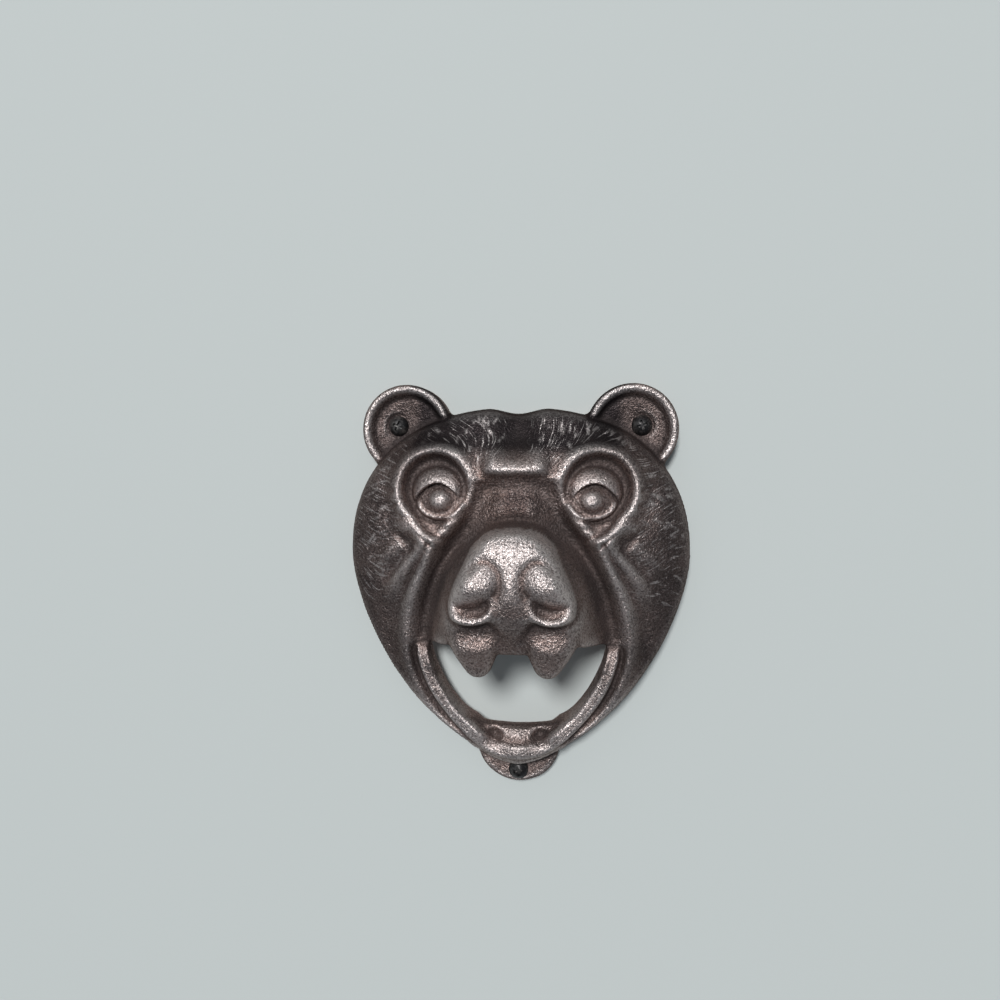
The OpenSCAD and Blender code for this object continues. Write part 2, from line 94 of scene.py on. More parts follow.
EDGE_T = 6.0
JAW_EDGE_T = 10.0
BROW_H = 24.0
JAW_H = 13.0
DOME_POWER = 2.6
WALL_T = 6.0
MUZZLE_WALL_T = 4.2
RIM_W = 6.0
FRONT_LIMIT = -cad_box[0][1]/MM


def ramp(v, a, b):
    """A smooth step from 0 at a to 1 at b."""
    t = np.clip((v - a)/(b - a), 0, 1)
    return t*t*(3 - 2*t)


def mound(d):
    """A round rise of 1 at the middle that ends at a distance of 1."""
    t = np.minimum(1, np.abs(d))
    return (1 - t*t)**2


def bell(d, w):
    """A rise of 1 at the middle that fades away over a width."""
    return np.exp(-(d/w)**2)


def oval(u, z, middle, half):
    """Distance from a middle, 1 on the oval with these half widths."""
    return np.hypot((u - middle[0])/half[0], (z - middle[1])/half[1])


def soft_max(a, b, k):
    """The higher of two surfaces, with a fillet where they cross."""
    d = np.maximum(0, k - np.abs(a - b))
    return np.maximum(a, b) + d*d/(4*k)


def soft_min(a, b, k):
    return -soft_max(-a, -b, k)


def along(z, line, blend=1.5):
    """A size that changes with the height, read from a line of heights and sizes and slightly rounded."""
    zs = [p[0] for p in line][::-1]
    vs = [p[1] for p in line][::-1]
    return sum(w*np.interp(z + s*blend, zs, vs) for s, w in ((-1, 0.25), (0, 0.5), (1, 0.25)))


def rounded(points, passes=2):
    """A bent line with its corners cut twice, so that it runs as a curve."""
    line = [np.array(p, float) for p in points]
    for _ in range(passes):
        cut = [line[0]]
        for a, b in zip(line, line[1:]):
            cut += [0.75*a + 0.25*b, 0.25*a + 0.75*b]
        line = cut + [line[-1]]
    return line


def path_gap(u, z, points):
    """Distance from a curve, and how far along it the nearest point lies, from 0 to 1."""
    line = rounded(points)
    gap = np.full(u.shape, 1e9)
    share = np.zeros(u.shape)
    legs = len(line) - 1
    for i, (a, b) in enumerate(zip(line, line[1:])):
        run = b - a
        t = np.clip(((u - a[0])*run[0] + (z - a[1])*run[1])/(run @ run), 0, 1)
        d = np.hypot(u - a[0] - t*run[0], z - a[1] - t*run[1])
        near = d < gap
        gap = np.where(near, d, gap)
        share = np.where(near, (i + t)/legs, share)
    return gap, share


def ridge(u, z, points, width, start=0.15, end=0.8):
    """A rounded ridge along a curve, fading in and out at its two ends."""
    gap, share = path_gap(u, z, points)
    return bell(gap, width)*ramp(share, -0.01, start)*(1 - ramp(share, end, 1.01))


# Outline and mouth of the casting as signed gaps, below zero inside, and the way to its holes
def tapered_r(x, z, middle, half, rise, fall):
    """Distance from the middle to an outline that is full above it and tapered below it."""
    angle = np.arctan2(z - middle, x)
    up = np.sin(angle) > 0
    power = np.where(up, FULL_POWER, TAPER_POWER)
    tall = np.where(up, rise, fall)
    across = (np.abs(np.cos(angle))/half)**power + (np.abs(np.sin(angle))/tall)**power
    return across**(-1/power)


def head_r(x, z):
    """Distance from the nose to the head's outline, which has a slight dip in the crown."""
    angle = np.arctan2(z - NOSE_Z, x)
    dip = CROWN_DIP*mound((angle - math.pi/2)/CROWN_DIP_HALF)
    return tapered_r(x, z, NOSE_Z, HEAD_HALF_W, HEAD_RISE, HEAD_FALL) - dip


def outer_gap(x, z):
    u = np.abs(x)
    head = np.hypot(x, z - NOSE_Z) - head_r(x, z)
    ear = np.hypot(u - EAR_X, z - EAR_Z) - EAR_R
    tab = np.hypot(x, z - TAB_Z) - TAB_R
    return soft_min(soft_min(head, ear, JOIN_R), tab, JOIN_R)


def touch(corner, side):
    """Direction square to the straight side that runs from the fang's round tip up to its corner."""
    d = np.array(corner) - np.array(FANG_TIP)
    turn = math.atan2(d[1], d[0]) + side*math.acos(FANG_TIP_R/np.hypot(*d))
    return np.array([math.cos(turn), math.sin(turn)])


def fang_gap(u, z):
    """Gap to a fang, whose two straight sides meet in a round tip."""
    out_in, out_out = touch(FANG_IN, 1), touch(FANG_OUT, -1)
    du, dz = u - FANG_TIP[0], z - FANG_TIP[1]
    side_in = du*out_in[0] + dz*out_in[1] - FANG_TIP_R
    side_out = du*out_out[0] + dz*out_out[1] - FANG_TIP_R
    up_in = -du*out_in[1] + dz*out_in[0]
    up_out = du*out_out[1] - dz*out_out[0]
    at_tip = (np.where(out_in[0] < 0, -up_in, up_in) < 0) & (np.where(out_out[0] > 0, -up_out, up_out) < 0)
    return np.where(at_tip, np.hypot(du, dz) - FANG_TIP_R, np.maximum(side_in, side_out))


def mouth_gap(x, z):
    u = np.abs(x)
    slant = math.atan2(MOUTH_TOP - MOUTH_CORNER, MOUTH_R - FANG_OUT[0])
    corner = (z - MOUTH_TOP)*math.cos(slant) + (u - FANG_OUT[0])*math.sin(slant)
    side = np.hypot(u, z - MOUTH_Z) - tapered_r(x, z, MOUTH_Z, MOUTH_R, MOUTH_R, MOUTH_FALL)
    round_part = soft_max(side, LIFT_Z - z, MOUTH_FLOOR_R)
    open_part = soft_max(round_part, np.maximum(z - MOUTH_TOP, corner), MOUTH_CORNER_R)
    upper_lip = np.maximum(u - LIP_GAP_HALF, LIP_GAP_Z - z)
    return soft_max(soft_max(open_part, -fang_gap(u, z), FANG_ROOT_R), -upper_lip, FANG_ROOT_R)


def hole_gap(x, z):
    """Distance from the middle of the nearest hole."""
    return np.min([np.hypot(x - a, z - b) for a, b in HOLES], axis=0)


def casting_gap(x, z):
    return np.max([outer_gap(x, z), -mouth_gap(x, z), HOLE_R - hole_gap(x, z)], axis=0)


def round_over(gap, radius):
    """How far a cast edge of that radius falls away at a distance in from the edge."""
    d = np.clip(gap, 0, radius)
    return radius - np.sqrt(np.maximum(0, radius**2 - (radius - d)**2))


# Broad forms of the face: dome, muzzle, forehead and the bridge of the nose
EYE_LEVEL_Z, JAW_Z, JAW_LOW_Z = -21.9, -84.8, -87
BROW_SLANT, BROW_SLANT_HALF = 0.22, 9.4
OUTSIDE_DROP = 150
MUZZLE_LINE = [
    (-3, 6), (-13.6, 20), (-20, 22), (-29.8, 23.6), (-31.6, 36), (-35, 38.6), (-40, 40.2), (-45, 41.2),
    (-50, 41.4), (-56, 41), (-60, 39.8), (-64, 38.4), (-68, 37), (-71, 36), (-79, 34), (-85.5, 0),
]
MUZZLE_HALF = [
    (-13.6, 6.3), (-29, 6.7), (-34, 9.2), (-40, 12.3), (-47, 15.2),
    (-52, 16.7), (-60, 18), (-66.8, 19.2), (-79, 18.2),
]
MUZZLE_SLOPE, MUZZLE_ROUND, MUZZLE_BLEND = 2.3, 3, 0.8
NOSE_ARCH, NOSE_ARCH_HALF = 0.03, 15
HUMP_H, HUMP_AT, HUMP_HALF = 1.0, (12, 1), (14, 10)
CHANNEL_D, CHANNEL_HALF, CHANNEL_FLARE = 1.2, 4, 6
BROW_BAR_H, BROW_BAR_Z, BROW_BAR_HALF = 3.4, -13.6, 12.8
BROW_BAR_UP, BROW_BAR_DOWN = 4.6, 2.5
BRIDGE_DIP_D, BRIDGE_DIP_Z, BRIDGE_DIP_W = 1.6, -20.6, 3.2
BRIDGE_CREASE_D, BRIDGE_CREASE_Z, BRIDGE_CREASE_W = 0.5, -30, 1.8


def edge_t(z):
    return EDGE_T + (JAW_EDGE_T - EDGE_T)*ramp(z, NOSE_Z, JAW_LOW_Z)


def dome(t, z):
    """Height of the domed head, where t is 0 at its middle and 1 at its edge."""
    top = JAW_H + (BROW_H - JAW_H)*ramp(z, JAW_Z, EYE_LEVEL_Z)
    curve = np.sqrt(np.maximum(0, 1 - np.minimum(t, 1)**DOME_POWER))
    slant = 1 - BROW_SLANT*mound(z/BROW_SLANT_HALF)
    return edge_t(z) + (top - edge_t(z))*curve*slant - OUTSIDE_DROP*np.maximum(0, t - 1)


def muzzle(u, z, shrink=0.0):
    """Height of the muzzle, or of the hollow behind it where it is shrunk by a wall."""
    level = z + NOSE_ARCH*np.minimum(u, NOSE_ARCH_HALF)**2*ramp(z, -50, -38)
    upper, lower = (along(level + drop, MUZZLE_LINE, MUZZLE_BLEND) for drop in (0, shrink))
    side = soft_max(u - along(z, MUZZLE_HALF) + shrink, 0*u, MUZZLE_ROUND)
    return np.minimum(upper, lower) - MUZZLE_SLOPE*side


def forehead(u, z):
    humps = HUMP_H*mound(oval(u, z, HUMP_AT, HUMP_HALF))
    channel = CHANNEL_D*mound(u/(CHANNEL_HALF + CHANNEL_FLARE*ramp(z, -13, 0)))*ramp(z, -12, -2)
    bar_w = np.where(z > BROW_BAR_Z, BROW_BAR_UP, BROW_BAR_DOWN)
    brow_bar = BROW_BAR_H*bell(z - BROW_BAR_Z, bar_w)*ramp(BROW_BAR_HALF - u, 0, 6.5)
    return humps - channel + brow_bar


def bridge(u, z):
    dip = BRIDGE_DIP_D*bell(z - BRIDGE_DIP_Z, BRIDGE_DIP_W)*ramp(12 - u, 0, 8)
    crease = BRIDGE_CREASE_D*bell(z - BRIDGE_CREASE_Z, BRIDGE_CREASE_W)*ramp(10.5 - u, 0, 6)
    return -dip - crease


# Eyes: a teardrop ring round a bowl, out of which swell an overhanging lid and an eyeball
EYE_X, EYE_Z, EYE_R = 25.6, -19.6, 12.2
EYE_POINT_D, EYE_POINT_AT, EYE_POINT_HALF = 3.2, (25.2, -35.2), (9, 9.5)
RING_H, RING_NOSE_DROP, RING_OUT_W, RING_IN_W = 2.6, 0.9, 2.9, 2.1
BOWL_D, BOWL_SIDE_W = 3.0, 4.2
SWELL_POWER = 0.55
LID_AT, LID_HALF, LID_H = (24.4, -20.8), (9, 7.9), 5.4
LID_EDGE_Z, LID_EDGE_BEND, LID_CUT = -18.5, 0.095, 6
BALL_AT, BALL_HALF, BALL_H = (23.7, -23.8), (8.2, 6.4), 4.3
IRIS_AT, IRIS_R, IRIS_H, IRIS_SIDE_W = (23.5, -23.4), 4.4, 1.7, 3.4
LOWER_LID_H, LOWER_LID_W = 1.5, 0.85
LOWER_LID = [
    (31.4, -23.2), (30.2, -26.6), (27.2, -28.7), (23.6, -29.3), (20, -28.6), (17.2, -26.2), (16, -23.6),
]
LID_WRINKLE_H, LID_WRINKLE_W = 1.3, 0.85
LID_WRINKLE = [(29.6, -29.6), (26.4, -31.2), (22.6, -31.4), (19.6, -29.6)]
LOW_WRINKLE_H, LOW_WRINKLE_W = 0.7, 0.8
LOW_WRINKLE = [(27.6, -31.6), (25, -33), (22.4, -32.6)]


def eye_r(u, z):
    """Distance from the eye's middle, shortened below so that the ring round it runs to a point."""
    point_u = mound((u - EYE_POINT_AT[0])/EYE_POINT_HALF[0])
    point_z = mound((z - EYE_POINT_AT[1])/EYE_POINT_HALF[1])
    return np.hypot(u - EYE_X, z - EYE_Z) - EYE_POINT_D*point_z*point_u


def swell(u, z, middle, half, rise):
    """Height of an ellipsoid that stands out of the eye's bowl."""
    q = oval(u, z, middle, half)
    return rise*np.maximum(0, 1 - q*q)**SWELL_POWER - 2*np.maximum(0, q - 1) - BOWL_D


def eye(u, z):
    r = eye_r(u, z)
    nose_side = ramp(21 - u, 0, 7)
    ring_w = np.where(r > EYE_R, RING_OUT_W, RING_IN_W)
    ring = (RING_H - RING_NOSE_DROP*nose_side)*bell(r - EYE_R, ring_w)
    bowl = -BOWL_D*(1 - 0.3*nose_side)*ramp(EYE_R - 0.5 - r, 0, BOWL_SIDE_W)
    lid_line = LID_EDGE_Z - LID_EDGE_BEND*(u - LID_AT[0])**2
    above = ramp(z - lid_line, -0.7, 0.5)
    lid = swell(u, z, LID_AT, LID_HALF, LID_H)*above - LID_CUT*(1 - above)
    ball = swell(u, z, BALL_AT, BALL_HALF, BALL_H)
    ball = ball + IRIS_H*ramp(IRIS_R - np.hypot(u - IRIS_AT[0], z - IRIS_AT[1]), 0, IRIS_SIDE_W)
    inner = soft_max(bowl, soft_max(lid, ball, 0.5), 1.6)
    lower_lid = LOWER_LID_H*ridge(u, z, LOWER_LID, LOWER_LID_W, 0.2, 0.8)
    wrinkle = LID_WRINKLE_H*ridge(u, z, LID_WRINKLE, LID_WRINKLE_W, 0.3, 0.7)
    wrinkle = wrinkle + LOW_WRINKLE_H*ridge(u, z, LOW_WRINKLE, LOW_WRINKLE_W, 0.3, 0.7)
    return ring + inner + lower_lid + wrinkle


# Cheeks: folds that run from the eye's point down beside the muzzle, with creases between them
FOLD_H, FOLD_W = 3.6, 3.5
FOLD = [
    (24.5, -34.5), (27, -40.5), (30.2, -47.5), (33.2, -54), (35.4, -62), (36.6, -71), (35.2, -79.5),
    (31.4, -88), (26, -95.5),
]
CHEEK_FOLD_H, CHEEK_FOLD_W = 2.5, 3.0
CHEEK_FOLD = [(28, -36), (33.6, -42.4), (38.8, -50), (43, -59.5)]
FAR_FOLD_H, FAR_FOLD_W = 1.1, 2.4
FAR_FOLD = [(36, -37), (41, -41), (46.5, -48)]
CREASE_D, CREASE_W = 1.1, 1.2
CHEEK_CREASES = [
    [(26, -35.6), (30.6, -43), (35.4, -50.6), (39.6, -61)],
    [(32, -38), (38, -44), (43.4, -51.5)],
]
VALLEY_D, VALLEY_W = 3.2, 3.8
VALLEY = [(10.5, -17), (13.2, -28), (18.4, -37), (24.2, -50), (28, -61), (30, -70)]
CROW_FOOT_D, CROW_FOOT_W = 0.7, 0.9
CROW_FEET = [[(37.2, -25.4), (41, -25.2), (47, -26.8)], [(38.4, -21), (42, -20), (46.4, -19.6)]]
BAG_H, BAG_AT, BAG_HALF, BAG_TILT = 2.0, (33, -33.2), (8.6, 4.2), 0.35


def cheeks(u, z):
    folds = FOLD_H*ridge(u, z, FOLD, FOLD_W, 0.1, 0.62)
    folds = folds + CHEEK_FOLD_H*ridge(u, z, CHEEK_FOLD, CHEEK_FOLD_W, 0.15, 0.5)
    folds = folds + FAR_FOLD_H*ridge(u, z, FAR_FOLD, FAR_FOLD_W, 0.2, 0.5)
    creases = sum(CREASE_D*ridge(u, z, line, CREASE_W, 0.12, 0.5) for line in CHEEK_CREASES)
    valley = VALLEY_D*ridge(u, z, VALLEY, VALLEY_W, 0.2, 0.6)
    bag = BAG_H*mound(oval(u, z - BAG_TILT*(u - BAG_AT[0]), BAG_AT, BAG_HALF))
    feet = sum(CROW_FOOT_D*ridge(u, z, line, CROW_FOOT_W, 0.15, 0.3) for line in CROW_FEET)
    return folds - creases - valley + bag - feet


# Nose: a round-topped pad that runs into the lip, with a hooked groove in each wing that opens over a rim
NOSE_TOP = -30.6
NOSE_HALF = [
    (-31, 7.6), (-32.5, 9.6), (-35.4, 11.8), (-39.8, 14.2), (-45.2, 16.8), (-50, 18.6), (-54, 19.3),
    (-57.4, 18.4),
]
PAD_T, PAD_THINNING, PAD_ROUND = 5.0, 1.8, 3.5
PAD_FLOOR_Z, PAD_FLOOR_DROP = -56.6, 1.8
NOSTRIL_D, NOSTRIL_W = 1.0, 1.35
OPENING_D, OPENING_W, OPENING_AT = 1.3, 0.9, 0.66
NOSTRIL = [
    (11.8, -43.2), (11, -40.6), (7.2, -39), (3.5, -42), (3.0, -46.2), (4.6, -50.2), (7.8, -52.8),
    (11.6, -54), (15.4, -52.8), (17.6, -49.6),
]
NOSTRIL_RIM_H, NOSTRIL_RIM_W = 1.1, 1.2
NOSTRIL_RIM = [(19, -50.6), (16.6, -55.6), (11.6, -57.4), (7.4, -56), (5.6, -52.8), (5, -49)]
WING_H, WING_AT, WING_HALF = 1.4, (10.4, -46), (6.4, 6.8)


def nose(u, z):
    floor = PAD_FLOOR_Z - PAD_FLOOR_DROP*mound((u - 11.8)/8)
    step = 1.0 + 10*mound(u/7.5)
    sides = soft_max(u - along(z, NOSE_HALF), z - NOSE_TOP, PAD_ROUND)
    thick = PAD_T - PAD_THINNING*ramp(-z, 46, 57)
    pad = thick*ramp(-sides, -0.5, 1.7)*ramp(z - floor, -step, 1.2)
    gap, share = path_gap(u, z, NOSTRIL)
    opening = bell(share - OPENING_AT, 0.2)
    groove = (NOSTRIL_D + OPENING_D*opening)*bell(gap, NOSTRIL_W + OPENING_W*opening)
    groove = groove*ramp(share, -0.02, 0.08)*(1 - ramp(share, 0.8, 1))
    wing = WING_H*mound(oval(u, z, WING_AT, WING_HALF))
    rim = NOSTRIL_RIM_H*ridge(u, z, NOSTRIL_RIM, NOSTRIL_RIM_W, 0.25, 0.8)
    return pad - groove + wing + rim


# Mouth: the lip rolled round it, the sloping floor of the lower jaw, and the two fangs
LIP_H, LIP_HALF_W, LIP_SIDE_W = 3.2, 3.4, 1.8
LIP_LINE = [
    (30.4, -71), (30.4, -75.5), (26.8, -85.6), (20.4, -95.2), (11.6, -104), (4.8, -106.8), (-4.8, -106.8),
]
LIP_GROOVE_D, LIP_GROOVE_W = 1.4, 1.1
LIP_GROOVE = [(33.8, -70), (34.2, -76), (30.6, -87), (24, -97), (15, -105.6)]
CHIN_H, CHIN_AT, CHIN_HALF = 2.6, (0, -108.8), (15, 7.6)
JAW_FLOOR_H, JAW_FLOOR_SLOPE, JAW_FLOOR_L = 10.6, 0.5, 8
GUM_H, GUM_HALF = 1.2, 6
SOCKET_D, SOCKET_AT, SOCKET_HALF = 2.2, (7.8, LIFT_Z - 3.2), (3.9, 3.6)
FANG_TOP_Z, FANG_L = -64, 13.1
FANG_TOP_U, FANG_LEAN, FANG_TOP_HALF, FANG_TIP_HALF = 11.2, 0.8, 8.6, 4.4
FANG_H, FANG_SINK, FANG_TIP_DROP = 4.6, 1.8, 1.4


def lip(u, z):
    gap, share = path_gap(u, z, LIP_LINE)
    groove = LIP_GROOVE_D*ridge(u, z, LIP_GROOVE, LIP_GROOVE_W, 0.25, 0.7)
    flat = ramp(LIP_HALF_W - gap, 0, LIP_SIDE_W)*ramp(share, -0.06, 0.26)*(1 - 0.55*ramp(share, 0.6, 0.82))
    chin = CHIN_H*mound(oval(u, z, CHIN_AT, CHIN_HALF))
    return LIP_H*flat + chin - groove


def jaw_floor(u, z, height):
    """The height given, levelled inside the lip to a sloping floor with a gum and sockets for the teeth."""
    gap, _ = path_gap(u, z, LIP_LINE)
    within = ramp(LIFT_Z - z, -6, 0)*ramp(17 - u, 0, 5)*ramp(z - LIFT_Z, -9, -6)
    share = ramp(gap, 1.4, 5.2)*within
    floor = JAW_FLOOR_H + JAW_FLOOR_SLOPE*np.clip(LIFT_Z - z, 0, JAW_FLOOR_L)
    height = height*(1 - share) + floor*share
    gum = GUM_H*mound(u/GUM_HALF)*ramp(z - LIFT_Z, -11, -5)*ramp(LIFT_Z - z, -1.5, 2.5)
    sockets = SOCKET_D*mound(oval(u, z, SOCKET_AT, SOCKET_HALF))
    return height + gum - sockets


def fangs(u, z):
    s = np.clip((FANG_TOP_Z - z)/FANG_L, 0, 1.1)
    half = FANG_TOP_HALF*(1 - s) + FANG_TIP_HALF*s
    q = (u - FANG_TOP_U + FANG_LEAN*s)/half
    rounded_front = np.maximum(0, 1 - q*q)**0.6
    below = ramp(-z, 60.5, 67)*ramp(z, -84, -80)*ramp(21 - u, 0, 3)*ramp(u, 3.2, 6.2)
    return below*(FANG_H*rounded_front - FANG_SINK - FANG_TIP_DROP*s*s)


# Whole front: the head, the cupped ears and the tab, with flat seats for the screws and rounded edges
MUZZLE_FILLET, EAR_FILLET, TAB_FILLET = 5, 1.2, 1.0
EDGE_ROUND, EAR_ROUND, TAB_ROUND, MOUTH_ROUND, HOLE_ROUND = 2.2, 1.4, 1.0, 1.3, 0.4
CUP_RISE, EAR_RIM_H = 1.0, 2.8
OUTSIDE_SLOPE = 3.0
LEAST_T = 1.0


def head_front(x, z):
    u = np.abs(x)
    t = np.hypot(x, z - NOSE_Z)/head_r(x, z)
    height = soft_max(dome(t, z), muzzle(u, z), MUZZLE_FILLET)
    height = height + forehead(u, z) + bridge(u, z) + eye(u, z) + cheeks(u, z) + nose(u, z)
    height = height + lip(u, z) + fangs(u, z)
    return jaw_floor(u, z, height) - round_over((1 - t)*head_r(x, z), EDGE_ROUND)


def ear_front(x, z):
    r = np.hypot(np.abs(x) - EAR_X, z - EAR_Z)
    cup = SEAT_T + CUP_RISE*ramp(r, 2, 10) + EAR_RIM_H*ramp(r, 10.2, 13.2)
    return cup - OUTSIDE_SLOPE*np.maximum(0, r - EAR_R) - round_over(EAR_R - r, EAR_ROUND)


def tab_front(x, z):
    r = np.hypot(x, z - TAB_Z)
    return SEAT_T - OUTSIDE_SLOPE*np.maximum(0, r - TAB_R) - round_over(TAB_R - r, TAB_ROUND)


def front_height(x, z):
    height = soft_max(head_front(x, z), ear_front(x, z), EAR_FILLET)
    height = soft_max(height, tab_front(x, z), TAB_FILLET)
    seat = 1 - ramp(hole_gap(x, z), SEAT_R - 0.2, SEAT_R + 0.5)
    height = height*(1 - seat) + SEAT_T*seat
    height = height - round_over(mouth_gap(x, z), MOUTH_ROUND)
    return np.maximum(height - round_over(hole_gap(x, z) - HOLE_R, HOLE_ROUND), LEAST_T)


# Fur strokes cut in the pattern with a small gouge, round the eyes over the cheeks and up over the forehead
STROKE_SEED = 11
CHEEK_STROKES, CHEEK_STROKE_L = 34, (2.5, 6.5)
CHEEK_TURN, CHEEK_AWAY, CHEEK_LEAN = (-1.3, 0.5), (15.5, 31), (-0.4, 0.2)
FOREHEAD_STROKES, FOREHEAD_STROKE_L = 24, (1.5, 4)
FOREHEAD_U, FOREHEAD_Z, FOREHEAD_LEAN = (3, 36), (-10, 3.5), (-0.9, 0.9)
STROKE_D, STROKE_W = (0.12, 0.34), 0.42
BURR_AT, BURR_W, BURR_SHARE, BURR_SHINE = 0.62, 0.36, 0.7, 3.2
draw = np.random.default_rng(STROKE_SEED)


def stroke_list():
    """Start, direction and length of every stroke."""
    strokes = []
    for side in (-1, 1):
        for _ in range(CHEEK_STROKES):
            turn = draw.uniform(*CHEEK_TURN)
            away = draw.uniform(*CHEEK_AWAY)
            start = (side*(EYE_X + away*math.cos(turn)), EYE_Z + away*math.sin(turn))
            lean = turn + draw.uniform(*CHEEK_LEAN)
            strokes.append((start, (side*math.cos(lean), math.sin(lean)), draw.uniform(*CHEEK_STROKE_L)))
        for _ in range(FOREHEAD_STROKES):
            start = (side*draw.uniform(*FOREHEAD_U), draw.uniform(*FOREHEAD_Z))
            lean = math.radians(105 - 1.6*abs(start[0])) + draw.uniform(*FOREHEAD_LEAN)
            strokes.append((start, (side*math.cos(lean), math.sin(lean)), draw.uniform(*FOREHEAD_STROKE_L)))
    return strokes


def fur(x, z):
    """Depth of the strokes, how bright the raised burr along each is rubbed, and where the fur lies."""
    cut = np.zeros(x.shape)
    burr = np.zeros(x.shape)
    for start, way, length in stroke_list():
        depth = draw.uniform(*STROKE_D)
        near = np.nonzero((np.abs(x - start[0]) < length + 2) & (np.abs(z - start[1]) < length + 2))[0]
        dx, dz = x[near] - start[0], z[near] - start[1]
        run = (dx*way[0] + dz*way[1])/length
        gap = dx*way[1] - dz*way[0]
        fade = ramp(run, 0, 0.2)*(1 - ramp(run, 0.55, 1))
        edge = bell(gap - BURR_AT, BURR_W)
        cut[near] += fade*depth*(bell(gap, STROKE_W) - BURR_SHARE*edge)
        burr[near] = np.maximum(burr[near], BURR_SHINE*depth*fade*edge)
    u = np.abs(x)
    on_head = 1 - ramp(np.hypot(x, z - NOSE_Z)/head_r(x, z), 0.93, 0.98)
    off_eyes = ramp(eye_r(u, z), 13.5, 16)
    forehead_part = ramp(z, -13.5, -11)*ramp(u, 3, 5)
    cheek_part = ramp(u, 33, 36)*ramp(-z, 8, 13)*ramp(z, -62, -54)
    furred = off_eyes*on_head*np.maximum(forehead_part, cheek_part)
    return cut*furred, burr*furred, furred


# Sand grain of the mould and the unevenness of a pattern cut by hand, as sums of waves in all directions
GRAIN_WAVES = 60
SAND_L, SAND_H = (1.25, 3.2), 0.03
UNEVEN_L, UNEVEN_H = (5, 13), 0.08


def wave_relief(points, lengths, rise):
    total = np.zeros(len(points))
    for _ in range(GRAIN_WAVES):
        way = draw.normal(size=3)
        wave = 2*math.pi/draw.uniform(*lengths)*way/np.linalg.norm(way)
        total += np.cos(points @ wave + draw.uniform(0, 2*math.pi))
    return rise*total*math.sqrt(2/GRAIN_WAVES)


# Hollow back, with a pocket behind the lifting edge for the cap's skirt
LIFT_EDGE_T, JAW_EXTRA_T = 3.2, 2
POCKET_HALF, POCKET_DROP, POCKET_SIDE, POCKET_RISE = 13.0, 7.0, 1.2, 4
HOLLOW_SLOPE, LEAST_HOLLOW = 2.5, 1.2
SOLID_FADE = 1.6
LEAST_WALL = 2.5


def back_height(x, z):
    """Depth of the hollow, which leaves a flat rim all round and solid ears and tab."""
    u = np.abs(x)
    edge = head_r(x, z)
    r = np.hypot(x, z - NOSE_Z)
    run = np.maximum(0, edge - RIM_W - r)
    head = dome(r/edge, z) - WALL_T - JAW_EXTRA_T*ramp(z, JAW_Z, LIFT_Z)
    deep = soft_max(head, muzzle(u, z, MUZZLE_WALL_T/2) - MUZZLE_WALL_T, MUZZLE_FILLET)
    side = HOLLOW_SLOPE*run
    hollow = np.maximum(np.minimum(LEAST_HOLLOW, side), np.minimum(side, deep))
    pocket = (JAW_FLOOR_H - LIFT_EDGE_T)*ramp(POCKET_HALF - u, -5, 3)
    pocket = pocket*ramp(z - LIFT_Z, -POCKET_DROP - POCKET_SIDE, POCKET_SIDE - POCKET_DROP)
    hollow = np.maximum(hollow, np.where(z < LIFT_Z + POCKET_RISE, pocket, 0))
    off_ears = ramp(np.hypot(u - EAR_X, z - EAR_Z), EAR_R, EAR_R + SOLID_FADE)
    off_tab = ramp(np.hypot(x, z - TAB_Z), TAB_R, TAB_R + SOLID_FADE)
    off_tab = np.maximum(off_tab, ramp(z - LIFT_Z, -9.6, -7.6))
    return hollow*off_ears*off_tab


# Sheet: a fine grid with its outside faces deleted and its border moved onto the outline
SNAP_PASSES, SNAP_SHARE, SNAP_REACH, LEAST_SLOPE = 6, 0.8, 0.02, 0.2
EASE_PASSES = 3


def snap_to_edge(x, z):
    """Moves points onto the edge of the casting along the slope of its gap."""
    e = SNAP_REACH
    for _ in range(SNAP_PASSES):
        gap = casting_gap(x, z)
        sx = (casting_gap(x + e, z) - casting_gap(x - e, z))/(2*e)
        sz = (casting_gap(x, z + e) - casting_gap(x, z - e))/(2*e)
        slope = np.maximum(sx*sx + sz*sz, LEAST_SLOPE)
        x = x - SNAP_SHARE*gap*sx/slope
        z = z - SNAP_SHARE*gap*sz/slope
    return x, z


def get_points(mesh):
    co = np.empty(len(mesh.vertices)*3)
    mesh.vertices.foreach_get("co", co)
    return co.reshape(-1, 3)


def set_points(mesh, co):
    mesh.vertices.foreach_set("co", co.ravel())
    mesh.update()


columns = round(2*GRID_X/GRID_STEP)
rows = round((GRID_TOP - GRID_BOTTOM)/GRID_STEP)
column_step = 2*GRID_X/columns
row_step = (GRID_TOP - GRID_BOTTOM)/rows
bpy.ops.mesh.primitive_grid_add(x_subdivisions=columns, y_subdivisions=rows, size=1)
casting = bpy.context.object
casting.name = "bear_face"
mesh = casting.data
co = get_points(mesh)
co[:, 2] = (GRID_TOP + GRID_BOTTOM)/2 + co[:, 1]*(GRID_TOP - GRID_BOTTOM)
co[:, 0] = co[:, 0]*2*GRID_X
co[:, 1] = 0
set_points(mesh, co)

corners = np.empty(len(mesh.loops), int)
mesh.loops.foreach_get("vertex_index", corners)
centres = co[corners.reshape(-1, 4)].mean(axis=1)
outside = casting_gap(centres[:, 0], centres[:, 2]) > 0
bpy.ops.object.mode_set(mode="EDIT")
bpy.ops.mesh.select_mode(type="FACE")
bpy.ops.object.mode_set(mode="OBJECT")
mesh.polygons.foreach_set("select", outside)
bpy.ops.object.mode_set(mode="EDIT")
bpy.ops.mesh.delete(type="FACE")
bpy.ops.mesh.select_all(action="SELECT")
bpy.ops.mesh.delete_loose()
bpy.ops.object.mode_set(mode="OBJECT")

